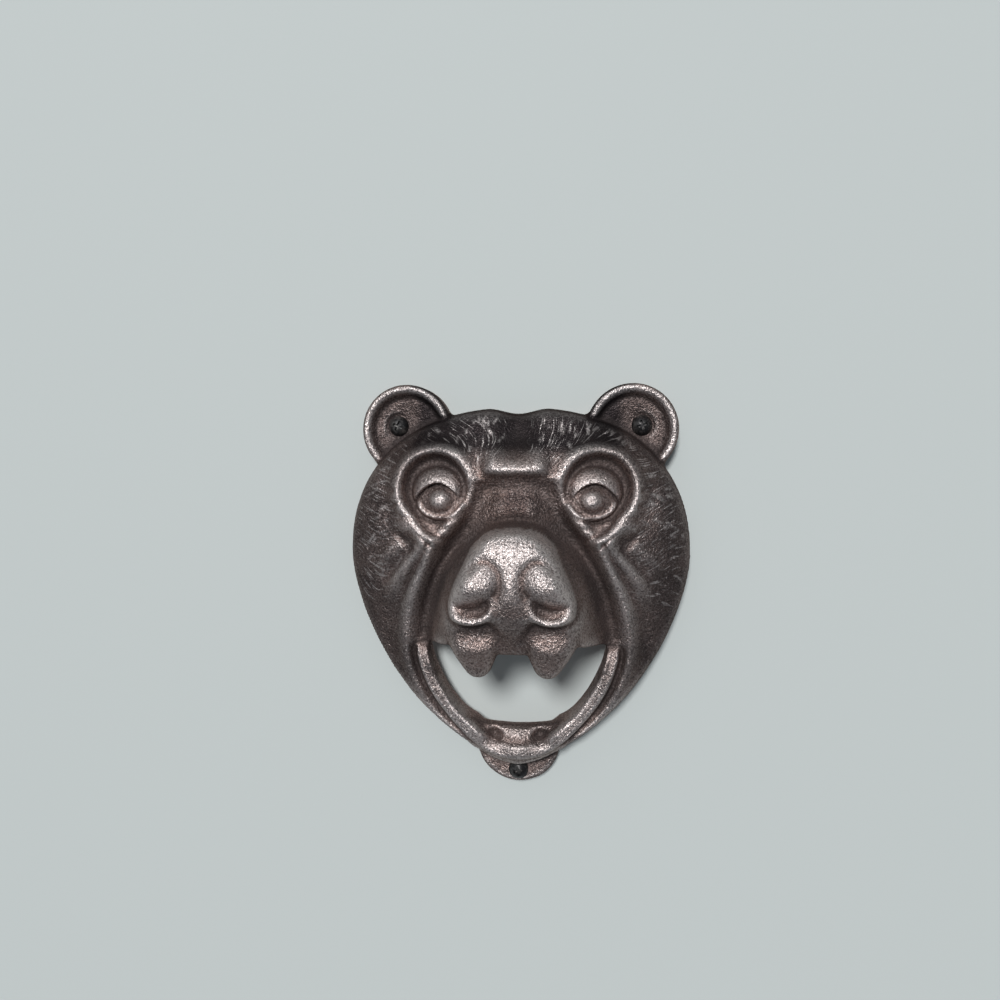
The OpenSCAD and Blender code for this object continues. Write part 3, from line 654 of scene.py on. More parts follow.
ends = np.array([e.vertices[:] for e in mesh.edges])
uses = np.zeros(len(mesh.edges), int)
loop_edges = np.empty(len(mesh.loops), int)
mesh.loops.foreach_get("edge_index", loop_edges)
np.add.at(uses, loop_edges, 1)
border = np.zeros(len(mesh.vertices), bool)
border[ends[uses == 1].ravel()] = True
co = get_points(mesh)
co[border, 0], co[border, 2] = snap_to_edge(co[border, 0], co[border, 2])
near = np.zeros(len(mesh.vertices), bool)
near[ends[border[ends].any(axis=1)].ravel()] = True
near &= ~border
for _ in range(EASE_PASSES):
    total = np.zeros_like(co)
    count = np.zeros(len(co))
    for a, b in ((0, 1), (1, 0)):
        np.add.at(total, ends[:, a], co[ends[:, b]])
        np.add.at(count, ends[:, a], 1)
    co[near] = total[near]/count[near][:, None]
set_points(mesh, co)

# Thickness: the sheet gets a second layer, and the two layers take the heights of the front and the back
sheet_count = len(mesh.vertices)
solidify = casting.modifiers.new("thickness", "SOLIDIFY")
solidify.thickness = EDGE_T
solidify.offset = 1
bpy.ops.object.modifier_apply(modifier=solidify.name)
co = get_points(mesh)
x, z = co[:, 0], co[:, 2]
front = front_height(x, z)
back = np.minimum(back_height(x, z), np.maximum(front - LEAST_WALL, 0))
is_front = np.arange(len(co)) >= sheet_count
if co[is_front, 1].mean() > co[~is_front, 1].mean():
    is_front = ~is_front
cut, burr, furred = fur(x, z)
skin = np.where(is_front, front - cut, back)
body = np.stack([x, skin, z], axis=1)
relief = wave_relief(body, SAND_L, SAND_H) + wave_relief(body, UNEVEN_L, UNEVEN_H)
relief = relief*ramp(hole_gap(x, z), SEAT_R, SEAT_R + 1.5)
skin = skin + np.where(skin > 0.3, relief, 0)
co[:, 1] = -np.minimum(skin, FRONT_LIMIT)
set_points(mesh, co*MM)
bpy.ops.object.mode_set(mode="EDIT")
bpy.ops.mesh.select_all(action="SELECT")
bpy.ops.mesh.normals_make_consistent(inside=False)
bpy.ops.object.mode_set(mode="OBJECT")
bpy.ops.object.shade_smooth_by_angle(angle=math.radians(60))


# Hollows, crests, strokes and painted shade of the front, kept on its points for the finish
FINE_REACH, BROAD_REACH = 1.6, 7.0
EDGE_FROM_Z, EDGE_FULL_Z = -98, -74
BRIDGE_AT, BRIDGE_HALF, BRIDGE_DIM_HALF = (0, -24.5), (17, 10), (17, 8)
# How dark the painted shade is on the bridge, the outer edge and the ear cups
BRIDGE_SHADE, EDGE_SHADE, CUP_SHADE = 0.85, 0.58, 0.6
# Pale rub with painted highlights on the lips, chin, nose front and folds
CHIN_RUB_AND_HIGHLIGHT_AT, CHIN_RUB_AND_HIGHLIGHT_HALF = (0, -108.4), (16, 6.6)
LIP_RUB_AND_HIGHLIGHT_W, FOLD_RUB_AND_HIGHLIGHT_W = 2.6, 3.4
LIP_RUB_AND_HIGHLIGHT, CHIN_RUB_AND_HIGHLIGHT, FOLD_RUB_AND_HIGHLIGHT, FAR_RUB_AND_HIGHLIGHT, NOSE_RUB_AND_HIGHLIGHT = 0.34, 0.34, 0.42, 0.8, 0.55
BRIDGE_SHADE_DIM, EDGE_SHADE_DIM, TEETH_SHADE_DIM = 0.8, 0.8, 0.55
SUNK_FINE, SUNK_BROAD, DEEPEST = 0.8, 0.2, 14
RAISED_FINE, RAISED_BROAD, RAISED_LIMIT = 0.85, 0.08, 2.4
BURR_MASK = 0.75


def blurred(field, reach):
    """A height field averaged over a distance, with three passes of a running mean each way."""
    half = max(1, round(reach/GRID_STEP/2))
    window = np.ones(2*half + 1)/(2*half + 1)

    def running_mean(line):
        return np.convolve(np.pad(line, half, "edge"), window, "valid")

    for axis in (0, 1)*3:
        field = np.apply_along_axis(running_mean, axis, field)
    return field


def sampled(field, x, z):
    """A value read from a field over the whole grid at any point between its nodes."""
    i = np.clip((x + GRID_X)/column_step, 0, columns - 0.001)
    j = np.clip((z - GRID_BOTTOM)/row_step, 0, rows - 0.001)
    a, b = i.astype(int), j.astype(int)
    s, t = i - a, j - b
    low = field[b, a]*(1 - s) + field[b, a + 1]*s
    high = field[b + 1, a]*(1 - s) + field[b + 1, a + 1]*s
    return low*(1 - t) + high*t


def head_edge(x, z):
    """How near a point of the head, ears and jaw apart, lies to its outer edge."""
    t = np.hypot(x, z - NOSE_Z)/head_r(x, z)
    return ramp(t, 0.6, 0.95)*(1 - ramp(t, 1.0, 1.02))*ramp(z, EDGE_FROM_Z, EDGE_FULL_Z)


def painted_shade(x, z):
    """Where shade is painted dark: forehead, bridge, outer edge and cups of the ears."""
    u = np.abs(x)
    off_eyes = 1 - ramp(np.hypot(u - EYE_X, z - EYE_Z), 14, 9)
    forehead_part = ramp(z, -13, -6)*ramp(40 - u, 0, 9)*off_eyes
    bridge_part = BRIDGE_SHADE*mound(oval(u, z, BRIDGE_AT, BRIDGE_HALF))
    edge_part = EDGE_SHADE*head_edge(x, z)
    cup_part = CUP_SHADE*(1 - ramp(np.hypot(u - EAR_X, z - EAR_Z), 10.4, 12.4))
    return np.max([forehead_part, bridge_part, edge_part, cup_part], axis=0)


def handled_and_highlit(u, z):
    """Where hands and bottles rub most, with painted highlights: lips, chin, nose front and the folds
    beside the muzzle.
    """
    gap, share = path_gap(u, z, LIP_LINE)
    lips = bell(gap, LIP_RUB_AND_HIGHLIGHT_W)*ramp(share, 0.02, 0.2)
    chin = mound(oval(u, z, CHIN_RUB_AND_HIGHLIGHT_AT, CHIN_RUB_AND_HIGHLIGHT_HALF))
    near_fold = ridge(u, z, FOLD, FOLD_RUB_AND_HIGHLIGHT_W, 0.1, 0.7)
    far_fold = FAR_RUB_AND_HIGHLIGHT*ridge(u, z, CHEEK_FOLD, CHEEK_FOLD_W, 0.15, 0.6)
    folds = np.maximum(near_fold, far_fold)
    nose_front = ramp(along(z, NOSE_HALF) - u, 1.2, 5.5)*ramp(NOSE_TOP - z, 1.0, 4.5)*ramp(z, -57, NOSE_Z)
    return np.max([LIP_RUB_AND_HIGHLIGHT*lips, CHIN_RUB_AND_HIGHLIGHT*chin, FOLD_RUB_AND_HIGHLIGHT*folds, NOSE_RUB_AND_HIGHLIGHT*nose_front], axis=0)


grid_x = np.linspace(-GRID_X, GRID_X, columns + 1)
grid_z = np.linspace(GRID_BOTTOM, GRID_TOP, rows + 1)
all_x, all_z = np.meshgrid(grid_x, grid_z)
field = front_height(all_x.ravel(), all_z.ravel()).reshape(all_x.shape)
fine = sampled(blurred(field, FINE_REACH) - field, x, z)
broad = sampled(blurred(field, BROAD_REACH) - field, x, z)
inside = ramp(-outer_gap(x, z), 0.2, 1.6)
rubs_and_highlights = handled_and_highlit(np.abs(x), z)*ramp(-fine, -0.35, 0.0)
# The bridge, outer edge and teeth get less of the pale rub: painted shade
teeth = ramp(-z, 58, 63)*ramp(z, -80, -77)*ramp(23 - np.abs(x), 0, 2)
on_bridge = mound(oval(x, z, BRIDGE_AT, BRIDGE_DIM_HALF))
shade_dimmed = (1 - BRIDGE_SHADE_DIM*on_bridge)*(1 - EDGE_SHADE_DIM*head_edge(x, z))*(1 - TEETH_SHADE_DIM*teeth)
sunk = np.clip(SUNK_FINE*fine + SUNK_BROAD*broad, 0, 1)*inside
# Raised parts are made pale: rubbed wear together with painted highlights
raised = -RAISED_FINE*fine + RAISED_BROAD*np.clip(-broad, 0, RAISED_LIMIT)
masks = {
    # Front hollows are darkened as soot and painted shade; the back's hollow is darkened the deeper it
    # goes, as painted shade
    "hollow": np.where(is_front, sunk, np.clip(back/DEEPEST, 0, 1)),
    "crest_wear_and_highlight": np.where(is_front, np.clip(raised, rubs_and_highlights, 1)*inside*shade_dimmed, 0),
    "burr": np.where(is_front, np.clip(BURR_MASK*burr, 0, 1), 0),
    "furred": np.where(is_front, furred, 0),
    "painted_shade": np.where(is_front, painted_shade(x, z), 0),
}
for name, values in masks.items():
    layer = mesh.attributes.new(name, "FLOAT", "POINT")
    layer.data.foreach_set("value", values)


# Finish of the iron: brown-black sand-cast skin, rubbed grey with painted highlights on the crests, and
# dark with soot and painted shade in the hollows
IRON_DARK = (0.16, 0.121, 0.111, 1)
IRON_BROWN = (0.32, 0.238, 0.214, 1)
IRON_RUBBED_AND_HIGHLIT = (0.71, 0.645, 0.625, 1)
IRON_RUST = (0.3, 0.185, 0.145, 1)
IRON_PAINTED_SHADE = (0.022, 0.019, 0.021, 1)
IRON_SOOT_AND_SHADE = (0.062, 0.051, 0.05, 1)
IRON_TINT = (0.42, 0.38, 0.36, 1)
IRON_METAL = 0.92
PAINTED_SHADE_SHARE, HAIR_SHARE, CREST_RUB_AND_HIGHLIGHT_SHARE, SOOT_AND_SHADE_SHARE, DULL_SHARE = 0.93, 0.55, 0.8, 0.58, 0.3
COARSE_SHARE, FINE_SHARE = 0.62, 0.38
SAND_BUMP = 0.0005
RUST_PLACE, RUST_RAGGED, RUST_SHARE = (-0.0035, -0.026, -0.0262), 0.007, 0.6
RUST_FROM, RUST_TO = 0.001, 0.013
HAIR_ACROSS, HAIR_ALONG, HAIR_SWAY = 84.0, 190.0, 0.1
IRON_BLOTCHES, IRON_SAND = (75.0, 4.0, 0.5), (1500.0, 2.0, 0.5)


def node_of(tree, kind, **inputs):
    """A new node with values for some of its inputs."""
    node = tree.nodes.new(kind)
    for key, value in inputs.items():
        node.inputs[key].default_value = value
    return node


def blend_colour(tree, share, low, high):
    """A mix of two colours, each a constant or an output of another node."""
    mix = tree.nodes.new("ShaderNodeMix")
    mix.data_type = "RGBA"
    tree.links.new(share, mix.inputs["Factor"])
    for socket, colour in ((mix.inputs["A"], low), (mix.inputs["B"], high)):
        if isinstance(colour, tuple):
            socket.default_value = colour
        else:
            tree.links.new(colour, socket)
    return mix.outputs["Result"]


def stretch(tree, value, low, high, to_low=0.0, to_high=1.0):
    """A value whose range from low to high is spread over another range."""
    span = tree.nodes.new("ShaderNodeMapRange")
    tree.links.new(value, span.inputs["Value"])
    for key, number in (("From Min", low), ("From Max", high), ("To Min", to_low), ("To Max", to_high)):
        span.inputs[key].default_value = number
    return span.outputs["Result"]


def sums(tree, operation, first, second):
    """The result of one operation on two values, each a number or an output of another node."""
    node = tree.nodes.new("ShaderNodeMath")
    node.operation = operation
    for socket, value in zip(node.inputs, (first, second)):
        if isinstance(value, (int, float)):
            socket.default_value = value
        else:
            tree.links.new(value, socket)
    return node.outputs[0]


def mask_of(tree, name):
    """A mask that is kept on the points of the mesh."""
    node = tree.nodes.new("ShaderNodeAttribute")
    node.attribute_name = name
    return node.outputs["Fac"]


# Patches and grain that every finish here has, as one group that each places with its own values
patchy_grain = bpy.data.node_groups.new("patchy_grain", "ShaderNodeTree")
patchy_grain.interface.new_socket("Place", in_out="INPUT", socket_type="NodeSocketVector")
given = patchy_grain.nodes.new("NodeGroupInput")
result = patchy_grain.nodes.new("NodeGroupOutput")
for part in ("Patch", "Grain"):
    noise = patchy_grain.nodes.new("ShaderNodeTexNoise")
    for key in ("Scale", "Detail", "Roughness"):
        patchy_grain.interface.new_socket(f"{part} {key}", in_out="INPUT", socket_type="NodeSocketFloat")
        patchy_grain.links.new(given.outputs[f"{part} {key}"], noise.inputs[key])
    patchy_grain.interface.new_socket(part, in_out="OUTPUT", socket_type="NodeSocketFloat")
    patchy_grain.links.new(given.outputs["Place"], noise.inputs["Vector"])
    patchy_grain.links.new(noise.outputs["Fac"], result.inputs[part])


def place_grain(tree, patch, grain):
    """Puts the group into a finish, with scale, detail and roughness of its patches and of its grain."""
    node = tree.nodes.new("ShaderNodeGroup")
    node.node_tree = patchy_grain
    for part, values in (("Patch", patch), ("Grain", grain)):
        for key, value in zip(("Scale", "Detail", "Roughness"), values):
            node.inputs[f"{part} {key}"].default_value = value
    coordinates = tree.nodes.new("ShaderNodeTexCoord").outputs["Object"]
    tree.links.new(coordinates, node.inputs["Place"])
    return node.outputs["Patch"], node.outputs["Grain"], coordinates


def new_finish(name, piece):
    """A material on a piece, with its nodes and its main shader."""
    finish = bpy.data.materials.new(name)
    finish.use_nodes = True
    piece.data.materials.append(finish)
    return finish.node_tree, finish.node_tree.nodes["Principled BSDF"]


def roughen(tree, shader, height, strength, distance):
    """Makes a shader's surface rough to the light with a bump."""
    bump = node_of(tree, "ShaderNodeBump", Strength=strength, Distance=distance)
    tree.links.new(height, bump.inputs["Height"])
    tree.links.new(bump.outputs["Normal"], shader.inputs["Normal"])


tree, skin_shader = new_finish("cast_iron", casting)
blotch, sand, place = place_grain(tree, IRON_BLOTCHES, IRON_SAND)
fine_sand = node_of(tree, "ShaderNodeTexNoise", Scale=2800.0, Detail=1.0)
sway = node_of(tree, "ShaderNodeTexNoise", Scale=32.0, Detail=0.0)
for noise in (fine_sand, sway):
    tree.links.new(place, noise.inputs["Vector"])

# A small rust patch on the bridge, the blotched skin with its sand, and painted shade on the forehead,
# bridge, outer edge and ear cups
rust_gap = tree.nodes.new("ShaderNodeVectorMath")
rust_gap.operation = "DISTANCE"
rust_gap.inputs[1].default_value = RUST_PLACE
tree.links.new(place, rust_gap.inputs[0])
ragged = stretch(tree, blotch, 0.3, 0.7, -RUST_RAGGED, RUST_RAGGED)
rust_edge = sums(tree, "ADD", rust_gap.outputs["Value"], ragged)
rust = stretch(tree, rust_edge, RUST_FROM, RUST_TO, RUST_SHARE, 0.0)
coarse = sums(tree, "MULTIPLY", sand, COARSE_SHARE)
grains = sums(tree, "ADD", coarse, sums(tree, "MULTIPLY", fine_sand.outputs["Fac"], FINE_SHARE))
colour = blend_colour(tree, stretch(tree, blotch, 0.36, 0.66), IRON_DARK, IRON_BROWN)
colour = blend_colour(tree, rust, colour, IRON_RUST)
# Sand pits darkened and grain tops paled: grain colour together with painted shade and painted glints
colour = blend_colour(tree, stretch(tree, grains, 0.5, 0.38, 0.0, 0.8), colour, IRON_SOOT_AND_SHADE)
colour = blend_colour(tree, stretch(tree, grains, 0.54, 0.64, 0.0, 0.34), colour, IRON_RUBBED_AND_HIGHLIT)
# Painted shade: the forehead, bridge, outer edge and ear cups are made near black
shade_painted = sums(tree, "MULTIPLY", mask_of(tree, "painted_shade"), PAINTED_SHADE_SHARE)
colour = blend_colour(tree, shade_painted, colour, IRON_PAINTED_SHADE)

# Fine hair strokes that run away from the nose, drawn out of noise stretched along the radius
ray_from = tree.nodes.new("ShaderNodeVectorMath")
ray_from.operation = "SUBTRACT"
ray_from.inputs[1].default_value = (0, 0, NOSE_Z*MM)
tree.links.new(place, ray_from.inputs[0])
parts = tree.nodes.new("ShaderNodeSeparateXYZ")
tree.links.new(ray_from.outputs[0], parts.inputs[0])
turn_angle = sums(tree, "ARCTAN2", parts.outputs["Z"], parts.outputs["X"])
bend = stretch(tree, sway.outputs["Fac"], 0.3, 0.7, -HAIR_SWAY, HAIR_SWAY)
bent_angle = sums(tree, "ADD", turn_angle, bend)
x_square, z_square = (sums(tree, "POWER", parts.outputs[axis], 2) for axis in "XZ")
square = sums(tree, "ADD", x_square, z_square)
hair_place = tree.nodes.new("ShaderNodeCombineXYZ")
tree.links.new(sums(tree, "MULTIPLY", bent_angle, HAIR_ACROSS), hair_place.inputs["X"])
tree.links.new(sums(tree, "MULTIPLY", sums(tree, "SQRT", square, 0), HAIR_ALONG), hair_place.inputs["Y"])
hair = node_of(tree, "ShaderNodeTexNoise", Scale=1.0, Detail=1.0)
tree.links.new(hair_place.outputs[0], hair.inputs["Vector"])
strokes = sums(tree, "MULTIPLY", stretch(tree, hair.outputs["Fac"], 0.58, 0.66), mask_of(tree, "furred"))
marks = sums(tree, "MAXIMUM", mask_of(tree, "burr"), sums(tree, "MULTIPLY", strokes, HAIR_SHARE))

# Crests and strokes rubbed bright with painted highlights, hollows sooted and darkened with painted shade,
# and the gloss and bump of the sand
worn_and_highlit = sums(tree, "MAXIMUM", stretch(tree, mask_of(tree, "crest_wear_and_highlight"), 0.03, 0.6, 0.0, CREST_RUB_AND_HIGHLIGHT_SHARE), marks)
# The rub and its painted highlights fall on the grain tops
rubbed_and_highlit = sums(tree, "MULTIPLY", worn_and_highlit, stretch(tree, grains, 0.36, 0.56, 0.2, 1.0))
colour = blend_colour(tree, rubbed_and_highlit, colour, IRON_RUBBED_AND_HIGHLIT)
# Soot and painted shade darken the hollows
sooted_and_shaded = stretch(tree, mask_of(tree, "hollow"), 0.08, 0.7, 0.0, SOOT_AND_SHADE_SHARE)
colour = blend_colour(tree, sooted_and_shaded, colour, IRON_SOOT_AND_SHADE)
tree.links.new(colour, skin_shader.inputs["Base Color"])
dull = sums(tree, "MULTIPLY", mask_of(tree, "hollow"), DULL_SHARE)
gloss = sums(tree, "ADD", stretch(tree, grains, 0.35, 0.65, 0.5, 0.36), dull)
tree.links.new(gloss, skin_shader.inputs["Roughness"])
skin_shader.inputs["Metallic"].default_value = IRON_METAL
skin_shader.inputs["Specular Tint"].default_value = IRON_TINT
roughen(tree, skin_shader, grains, 1.0, SAND_BUMP)
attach(casting, "root")
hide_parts("face_casting")


# Screws
# Three blackened steel screws with a domed head, a cross recess and a rolled thread, driven through the
# ears and the tab. One is spun from its outline, threaded and recessed, and then copied to the three holes,
# each copy with a turn of its own.
HEAD_R, HEAD_H = 3.5, 2.4
HEAD_ROUND = (HEAD_R**2 + HEAD_H**2)/(2*HEAD_H)
DOME_R, DOME_STEPS = HEAD_ROUND - 0.02, 12
HEAD_EDGE_H, HEAD_EDGE = 0.25, [(3.38, -0.1), (3.28, 0)]
NECK_R, NECK_L = 1.9, 4.0
THREAD_R, THREAD_CUT_SHARE, PITCH = 1.96, 0.26, 1.8
SCREW_L, POINT_L, POINT_R = 32.0, 5.0, 0.28
SCREW_SIDES = 32
RINGS_PER_PITCH = 9
RECESS_L, RECESS_W, RECESS_D = 4.2, 0.9, 1.32
RECESS_TAPER, RECESS_OVER = 0.6, 0.5
SCREW_TURNS = (24, 71, -12)
SCREW_NAMES = (
    ("ear_screw_left", "left_ear_screw"),
    ("ear_screw_right", "right_ear_screw"),
    ("screw_chin", "chin_screw"),
)


def turned(name, outline, sides, closed):
    """A round body made by spinning an outline of radius and depth about the axis into the wall."""
    mesh = bpy.data.meshes.new(name)
    points = [(r*MM, y*MM, 0) for r, y in outline]
    edges = [(i, i + 1) for i in range(len(points) - 1)]
    if closed:
        edges.append((len(points) - 1, 0))
    mesh.from_pydata(points, edges, [])
    body = bpy.data.objects.new(name, mesh)
    bpy.context.collection.objects.link(body)
    bpy.ops.object.select_all(action="DESELECT")
    body.select_set(True)
    bpy.context.view_layer.objects.active = body
    bpy.ops.object.mode_set(mode="EDIT")
    bpy.ops.mesh.select_all(action="SELECT")
    bpy.ops.mesh.spin(steps=sides, angle=2*math.pi, center=(0, 0, 0), axis=(0, 1, 0))
    bpy.ops.mesh.select_all(action="SELECT")
    bpy.ops.mesh.remove_doubles(threshold=0.005*MM)
    bpy.ops.mesh.normals_make_consistent(inside=False)
    bpy.ops.object.mode_set(mode="OBJECT")
    return body


def cut_away(body, size, middle, turn, taper):
    """Cuts a box out of a body, drawn in at its far end and turned about the axis into the wall."""
    bpy.ops.mesh.primitive_cube_add(size=1)
    cutter = bpy.context.object
    co = get_points(cutter.data)
    co[co[:, 1] > 0, 0] *= taper
    co = co*np.array(size)*MM
    set_points(cutter.data, co)
    cutter.rotation_euler.y = turn
    cutter.location = Vector(middle)*MM
    bpy.context.view_layer.objects.active = body
    cut = body.modifiers.new("cut", "BOOLEAN")
    cut.operation = "DIFFERENCE"
    cut.solver = "EXACT"
    cut.object = cutter
    bpy.ops.object.modifier_apply(modifier=cut.name)
    bpy.data.objects.remove(cutter)


def thread_r(y):
    """Outer radius of the thread at a depth from the head's seat, drawn in towards the point."""
    return min(THREAD_R, POINT_R + (THREAD_R - POINT_R)*(SCREW_L - y)/POINT_L)


dome_end = math.acos((HEAD_ROUND - HEAD_H + HEAD_EDGE_H)/HEAD_ROUND)
angles = [dome_end*i/DOME_STEPS for i in range(DOME_STEPS + 1)]
head_outline = [(DOME_R*math.sin(a), HEAD_ROUND - HEAD_H - DOME_R*math.cos(a)) for a in angles]
head_outline += HEAD_EDGE + [(NECK_R, 0), (NECK_R, NECK_L)]
ring_count = round((SCREW_L - NECK_L)*RINGS_PER_PITCH/PITCH)
ring_depths = np.linspace(NECK_L, SCREW_L, ring_count + 1)[1:]
outline = head_outline + [(thread_r(y), y) for y in ring_depths] + [(0, SCREW_L)]
screw = turned("screw", [(r, y - SEAT_T) for r, y in outline], SCREW_SIDES, False)
co = get_points(screw.data)
depth = co[:, 1]/MM + SEAT_T
helix = (depth/PITCH - np.arctan2(co[:, 2], co[:, 0])/(2*math.pi)) % 1
valley = ramp(np.abs(helix - 0.5), 0.42, 0.14)*ramp(depth, NECK_L + 0.1, NECK_L + PITCH)
co[:, [0, 2]] *= (1 - THREAD_CUT_SHARE*valley)[:, None]
set_points(screw.data, co)
recess_middle = (0, -SEAT_T - HEAD_H - RECESS_OVER + (RECESS_D + RECESS_OVER)/2, 0)
for turn in (0, math.pi/2):
    cut_away(screw, (RECESS_L, RECESS_D + RECESS_OVER, RECESS_W), recess_middle, turn, RECESS_TAPER)
bpy.ops.object.shade_smooth_by_angle(angle=math.radians(42))

# Finish of the screws: oil-blackened steel, scuffed paler in fine patches
STEEL_BLACK = (0.022, 0.021, 0.022, 1)
STEEL_SCUFFED = (0.16, 0.152, 0.146, 1)
STEEL_SCUFFS, STEEL_PITS = (420.0, 5.0, 0.7), (2400.0, 1.0, 0.5)
STEEL_METAL = 0.7
PIT_BUMP = 0.0001
tree, steel_shader = new_finish("blackened_steel", screw)
scuffs, pits, _ = place_grain(tree, STEEL_SCUFFS, STEEL_PITS)
scuffed = stretch(tree, scuffs, 0.46, 0.7)
tree.links.new(blend_colour(tree, scuffed, STEEL_BLACK, STEEL_SCUFFED), steel_shader.inputs["Base Color"])
tree.links.new(stretch(tree, scuffs, 0.35, 0.65, 0.5, 0.3), steel_shader.inputs["Roughness"])
steel_shader.inputs["Metallic"].default_value = STEEL_METAL
roughen(tree, steel_shader, pits, 0.5, PIT_BUMP)


def place_copy(master, name, hole, turn):
    """A copy of a piece with a mesh of its own, turned about its axis and moved to a hole."""
    bpy.ops.object.select_all(action="DESELECT")
    master.select_set(True)
    bpy.context.view_layer.objects.active = master
    bpy.ops.object.duplicate(linked=False)
    piece = bpy.context.object
    piece.name = name
    piece.data.name = name
    piece.rotation_euler.y = math.radians(turn)
    piece.location = (hole[0]*MM, 0, hole[1]*MM)
    bpy.ops.object.transform_apply(location=True, rotation=True, scale=True)
    return piece


for (name, node), hole, turn in zip(SCREW_NAMES, HOLES, SCREW_TURNS):
    piece = place_copy(screw, name, hole, turn)
    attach(piece, "root")
    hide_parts(node)
bpy.data.objects.remove(screw)


# Wall plugs
# Three grey nylon plugs pressed into drilled holes: moulded tubes with a chamfered mouth, barbs and a split
# tail. One is spun from its outline and split with a saw cut, and then copied to the three holes.
PLUG_R, BORE_R = 2.97, 2.02
PLUG_FROM, PLUG_L = 2.5, 28.0
PLUG_CHAMFER = 0.8
COLLAR_L = 3.2
BARBS, BARB_STEP, BARB_D = 10, 2.15, 0.42
BARB_AFTER, BARB_ROOT_L, BARB_FLAT_FROM, BARB_FLAT_TO, TAIL_AFTER = 0.15, 0.5, 0.25, 0.1, 0.2
PLUG_INSET, BORE_FLARE, FLARE_L = 0.02, 0.15, 0.2
SLIT_W, SLIT_L, SLIT_OVER = 0.8, 11.7, 1
PLUG_SIDES = 48
PLUG_NAMES = (
    ("ear_plug_left", "left_ear_plug"),
    ("ear_plug_right", "right_ear_plug"),
    ("plug_chin", "chin_plug"),
)

end_r = PLUG_R - PLUG_CHAMFER + PLUG_INSET
root_r = PLUG_R - BARB_D
outline = [(BORE_R + BORE_FLARE, PLUG_INSET), (end_r, PLUG_INSET)]
outline += [(PLUG_R, PLUG_CHAMFER), (PLUG_R, COLLAR_L)]
for i in range(BARBS):
    start = COLLAR_L + BARB_AFTER + i*BARB_STEP
    end = start + BARB_STEP
    outline += [(root_r, start), (root_r, start + BARB_ROOT_L)]
    outline += [(PLUG_R, end - BARB_FLAT_FROM), (PLUG_R, end - BARB_FLAT_TO)]
outline += [(root_r, COLLAR_L + TAIL_AFTER + BARBS*BARB_STEP), (root_r, PLUG_L - PLUG_CHAMFER)]
outline += [(end_r, PLUG_L - PLUG_INSET), (BORE_R, PLUG_L - PLUG_INSET), (BORE_R, FLARE_L)]
plug = turned("plug", [(r, y + PLUG_FROM) for r, y in outline], PLUG_SIDES, True)
slit_middle = (0, PLUG_FROM + PLUG_L - SLIT_L/2 + SLIT_OVER/2, 0)
cut_away(plug, (4*PLUG_R, SLIT_L + SLIT_OVER, SLIT_W), slit_middle, 0, 1)
bpy.ops.object.shade_smooth_by_angle(angle=math.radians(35))

# Finish of the plugs: plain grey nylon with a faint mould grain
NYLON_PALE = (0.58, 0.57, 0.53, 1)
NYLON_DULL = (0.47, 0.46, 0.425, 1)
NYLON_CLOUDS, NYLON_GRAIN = (160.0, 3.0, 0.5), (1800.0, 2.0, 0.5)
NYLON_IOR = 1.53
MOULD_BUMP = 0.00006
tree, nylon_shader = new_finish("grey_nylon", plug)
clouding, mould_grain, _ = place_grain(tree, NYLON_CLOUDS, NYLON_GRAIN)
clouded = stretch(tree, clouding, 0.35, 0.65)
tree.links.new(blend_colour(tree, clouded, NYLON_PALE, NYLON_DULL), nylon_shader.inputs["Base Color"])
tree.links.new(stretch(tree, mould_grain, 0.35, 0.65, 0.42, 0.56), nylon_shader.inputs["Roughness"])
nylon_shader.inputs["IOR"].default_value = NYLON_IOR
roughen(tree, nylon_shader, mould_grain, 0.4, MOULD_BUMP)
for (name, node), hole in zip(PLUG_NAMES, HOLES):
    piece = place_copy(plug, name, hole, 0)
    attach(piece, "root")
    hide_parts(node)
bpy.data.objects.remove(plug)


# Wall
# A plain pale painted board that the opener hangs on: one large plane just behind the back of the casting.
# It is seen from the front only, so that the back of the opener stays in view from behind.
WALL_SIZE, WALL_Y = 30, 0.0004
WALL_PAINT, WALL_ROUGH = (0.5, 0.535, 0.525, 1), 0.8
bpy.ops.mesh.primitive_plane_add(size=WALL_SIZE, location=(0, WALL_Y, 0), rotation=(math.radians(90), 0, 0))
wall = bpy.context.object
wall.name = "wall"
bpy.ops.object.transform_apply(location=True, rotation=True, scale=True)
tree, paint = new_finish("pale_wall", wall)
paint.inputs["Base Color"].default_value = WALL_PAINT
paint.inputs["Roughness"].default_value = WALL_ROUGH
clear = tree.nodes.new("ShaderNodeBsdfTransparent")
mix = tree.nodes.new("ShaderNodeMixShader")
facing = tree.nodes.new("ShaderNodeNewGeometry")
ray = tree.nodes.new("ShaderNodeLightPath")
looked_at = ray.outputs["Is Camera Ray"]
for kind in ("Is Glossy Ray", "Is Transmission Ray"):
    looked_at = sums(tree, "MAXIMUM", looked_at, ray.outputs[kind])
seen = sums(tree, "SUBTRACT", looked_at, facing.outputs["Backfacing"])
tree.links.new(sums(tree, "MAXIMUM", seen, 0), mix.inputs["Fac"])
tree.links.new(clear.outputs[0], mix.inputs[1])
tree.links.new(paint.outputs[0], mix.inputs[2])
tree.links.new(mix.outputs[0], tree.nodes["Material Output"].inputs["Surface"])


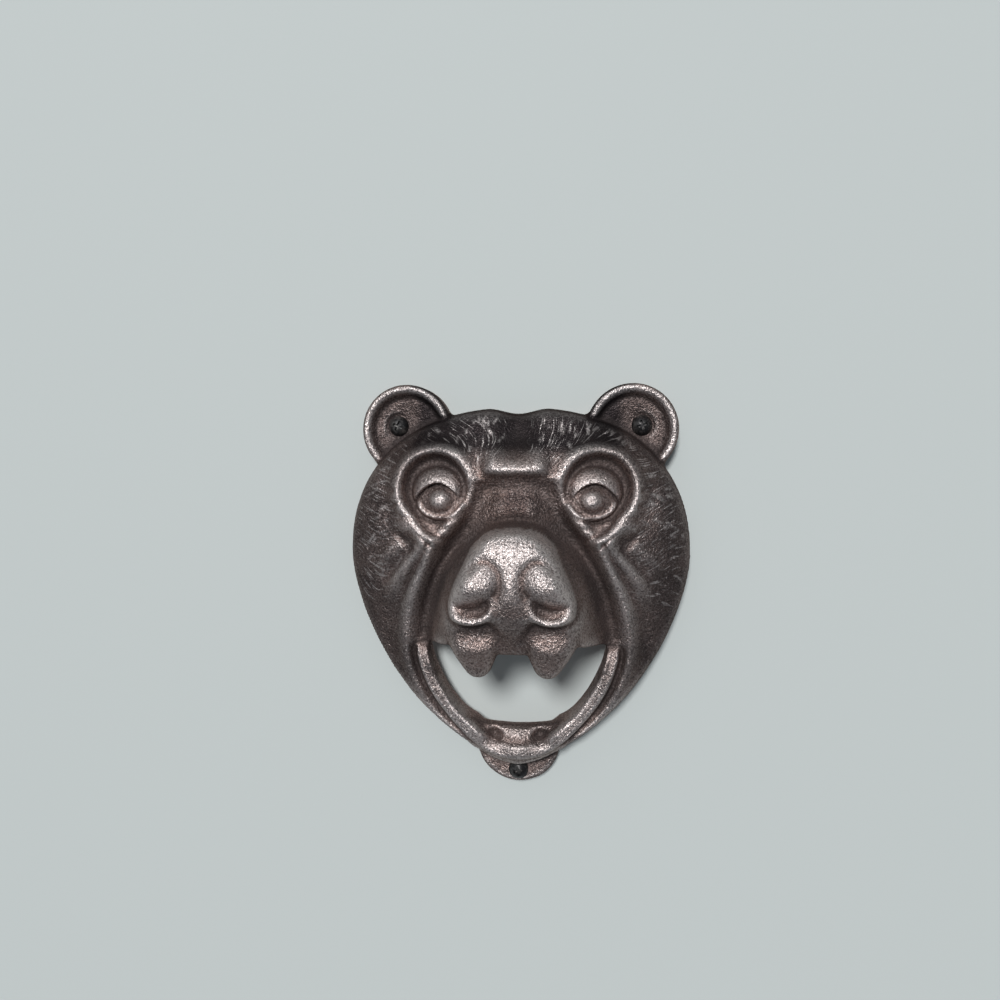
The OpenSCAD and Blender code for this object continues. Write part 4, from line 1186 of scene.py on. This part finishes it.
# Light and camera
# A soft sun from in front, above and a little to the left is the key light. A small lamp overhead and one
# behind, for the hollow back, fill in, and a dim sky is all round. The camera stands where the photograph
# was taken from.
FACE_MIDDLE = (0, -0.03, -0.055)
TOP_LAMP_AT, TOP_LAMP_SIZE, TOP_LAMP_POWER = (-0.15, -0.45, 0.55), 0.4, 0.25
BACK_LAMP_AT, BACK_LAMP_SIZE, BACK_LAMP_POWER = (0, 1.1, -0.055), 0.5, 9
SUN_WAY, SUN_POWER, SUN_SPREAD = (0.11, 1.0, -0.47), 3.0, math.radians(14)
SKY_COLOUR, SKY_POWER = (0.72, 0.8, 0.88, 1), 0.24


def aim(way):
    """Turn of a lamp that shines that way."""
    return Vector(way).to_track_quat("-Z", "Y").to_euler()


def area_lamp(name, place, target, size, power):
    bpy.ops.object.light_add(type="AREA", location=place)
    lamp = bpy.context.object
    lamp.name = name
    lamp.data.size = size
    lamp.data.energy = power
    lamp.rotation_euler = aim(Vector(target) - Vector(place))


area_lamp("top_lamp", TOP_LAMP_AT, FACE_MIDDLE, TOP_LAMP_SIZE, TOP_LAMP_POWER)
area_lamp("back_lamp", BACK_LAMP_AT, FACE_MIDDLE, BACK_LAMP_SIZE, BACK_LAMP_POWER)
bpy.ops.object.light_add(type="SUN")
key = bpy.context.object
key.name = "key_light"
key.data.energy = SUN_POWER
key.data.angle = SUN_SPREAD
key.rotation_euler = aim(SUN_WAY)
world = bpy.data.worlds.new("room")
bpy.context.scene.world = world
world.use_nodes = True
sky = world.node_tree.nodes["Background"]
sky.inputs["Color"].default_value = SKY_COLOUR
sky.inputs["Strength"].default_value = SKY_POWER

IMAGE = 1000
FOCAL = 750
SENSOR = 36
CAMERA_AT = Vector((0.0149, -0.2532, -0.0070))
WALL_VANISH = (563.9, 446.9)
ROLL = math.radians(0.275)
into_wall = Vector((WALL_VANISH[0] - IMAGE/2, IMAGE/2 - WALL_VANISH[1], FOCAL)).normalized()
upright = Vector((math.sin(ROLL), math.cos(ROLL), 0))
up_wall = (upright - into_wall*upright.dot(into_wall)).normalized()
right_wall = up_wall.cross(into_wall)
turn = Matrix((
    (right_wall.x, right_wall.y, -right_wall.z),
    (into_wall.x, into_wall.y, -into_wall.z),
    (up_wall.x, up_wall.y, -up_wall.z),
))
bpy.ops.object.camera_add()
camera = bpy.context.object
camera.matrix_world = Matrix.Translation(CAMERA_AT) @ turn.to_4x4()
camera.data.sensor_width = SENSOR
camera.data.lens = SENSOR*FOCAL/IMAGE
camera.data.clip_start = 0.01
bpy.context.scene.camera = camera
bpy.context.scene.view_settings.view_transform = "Standard"
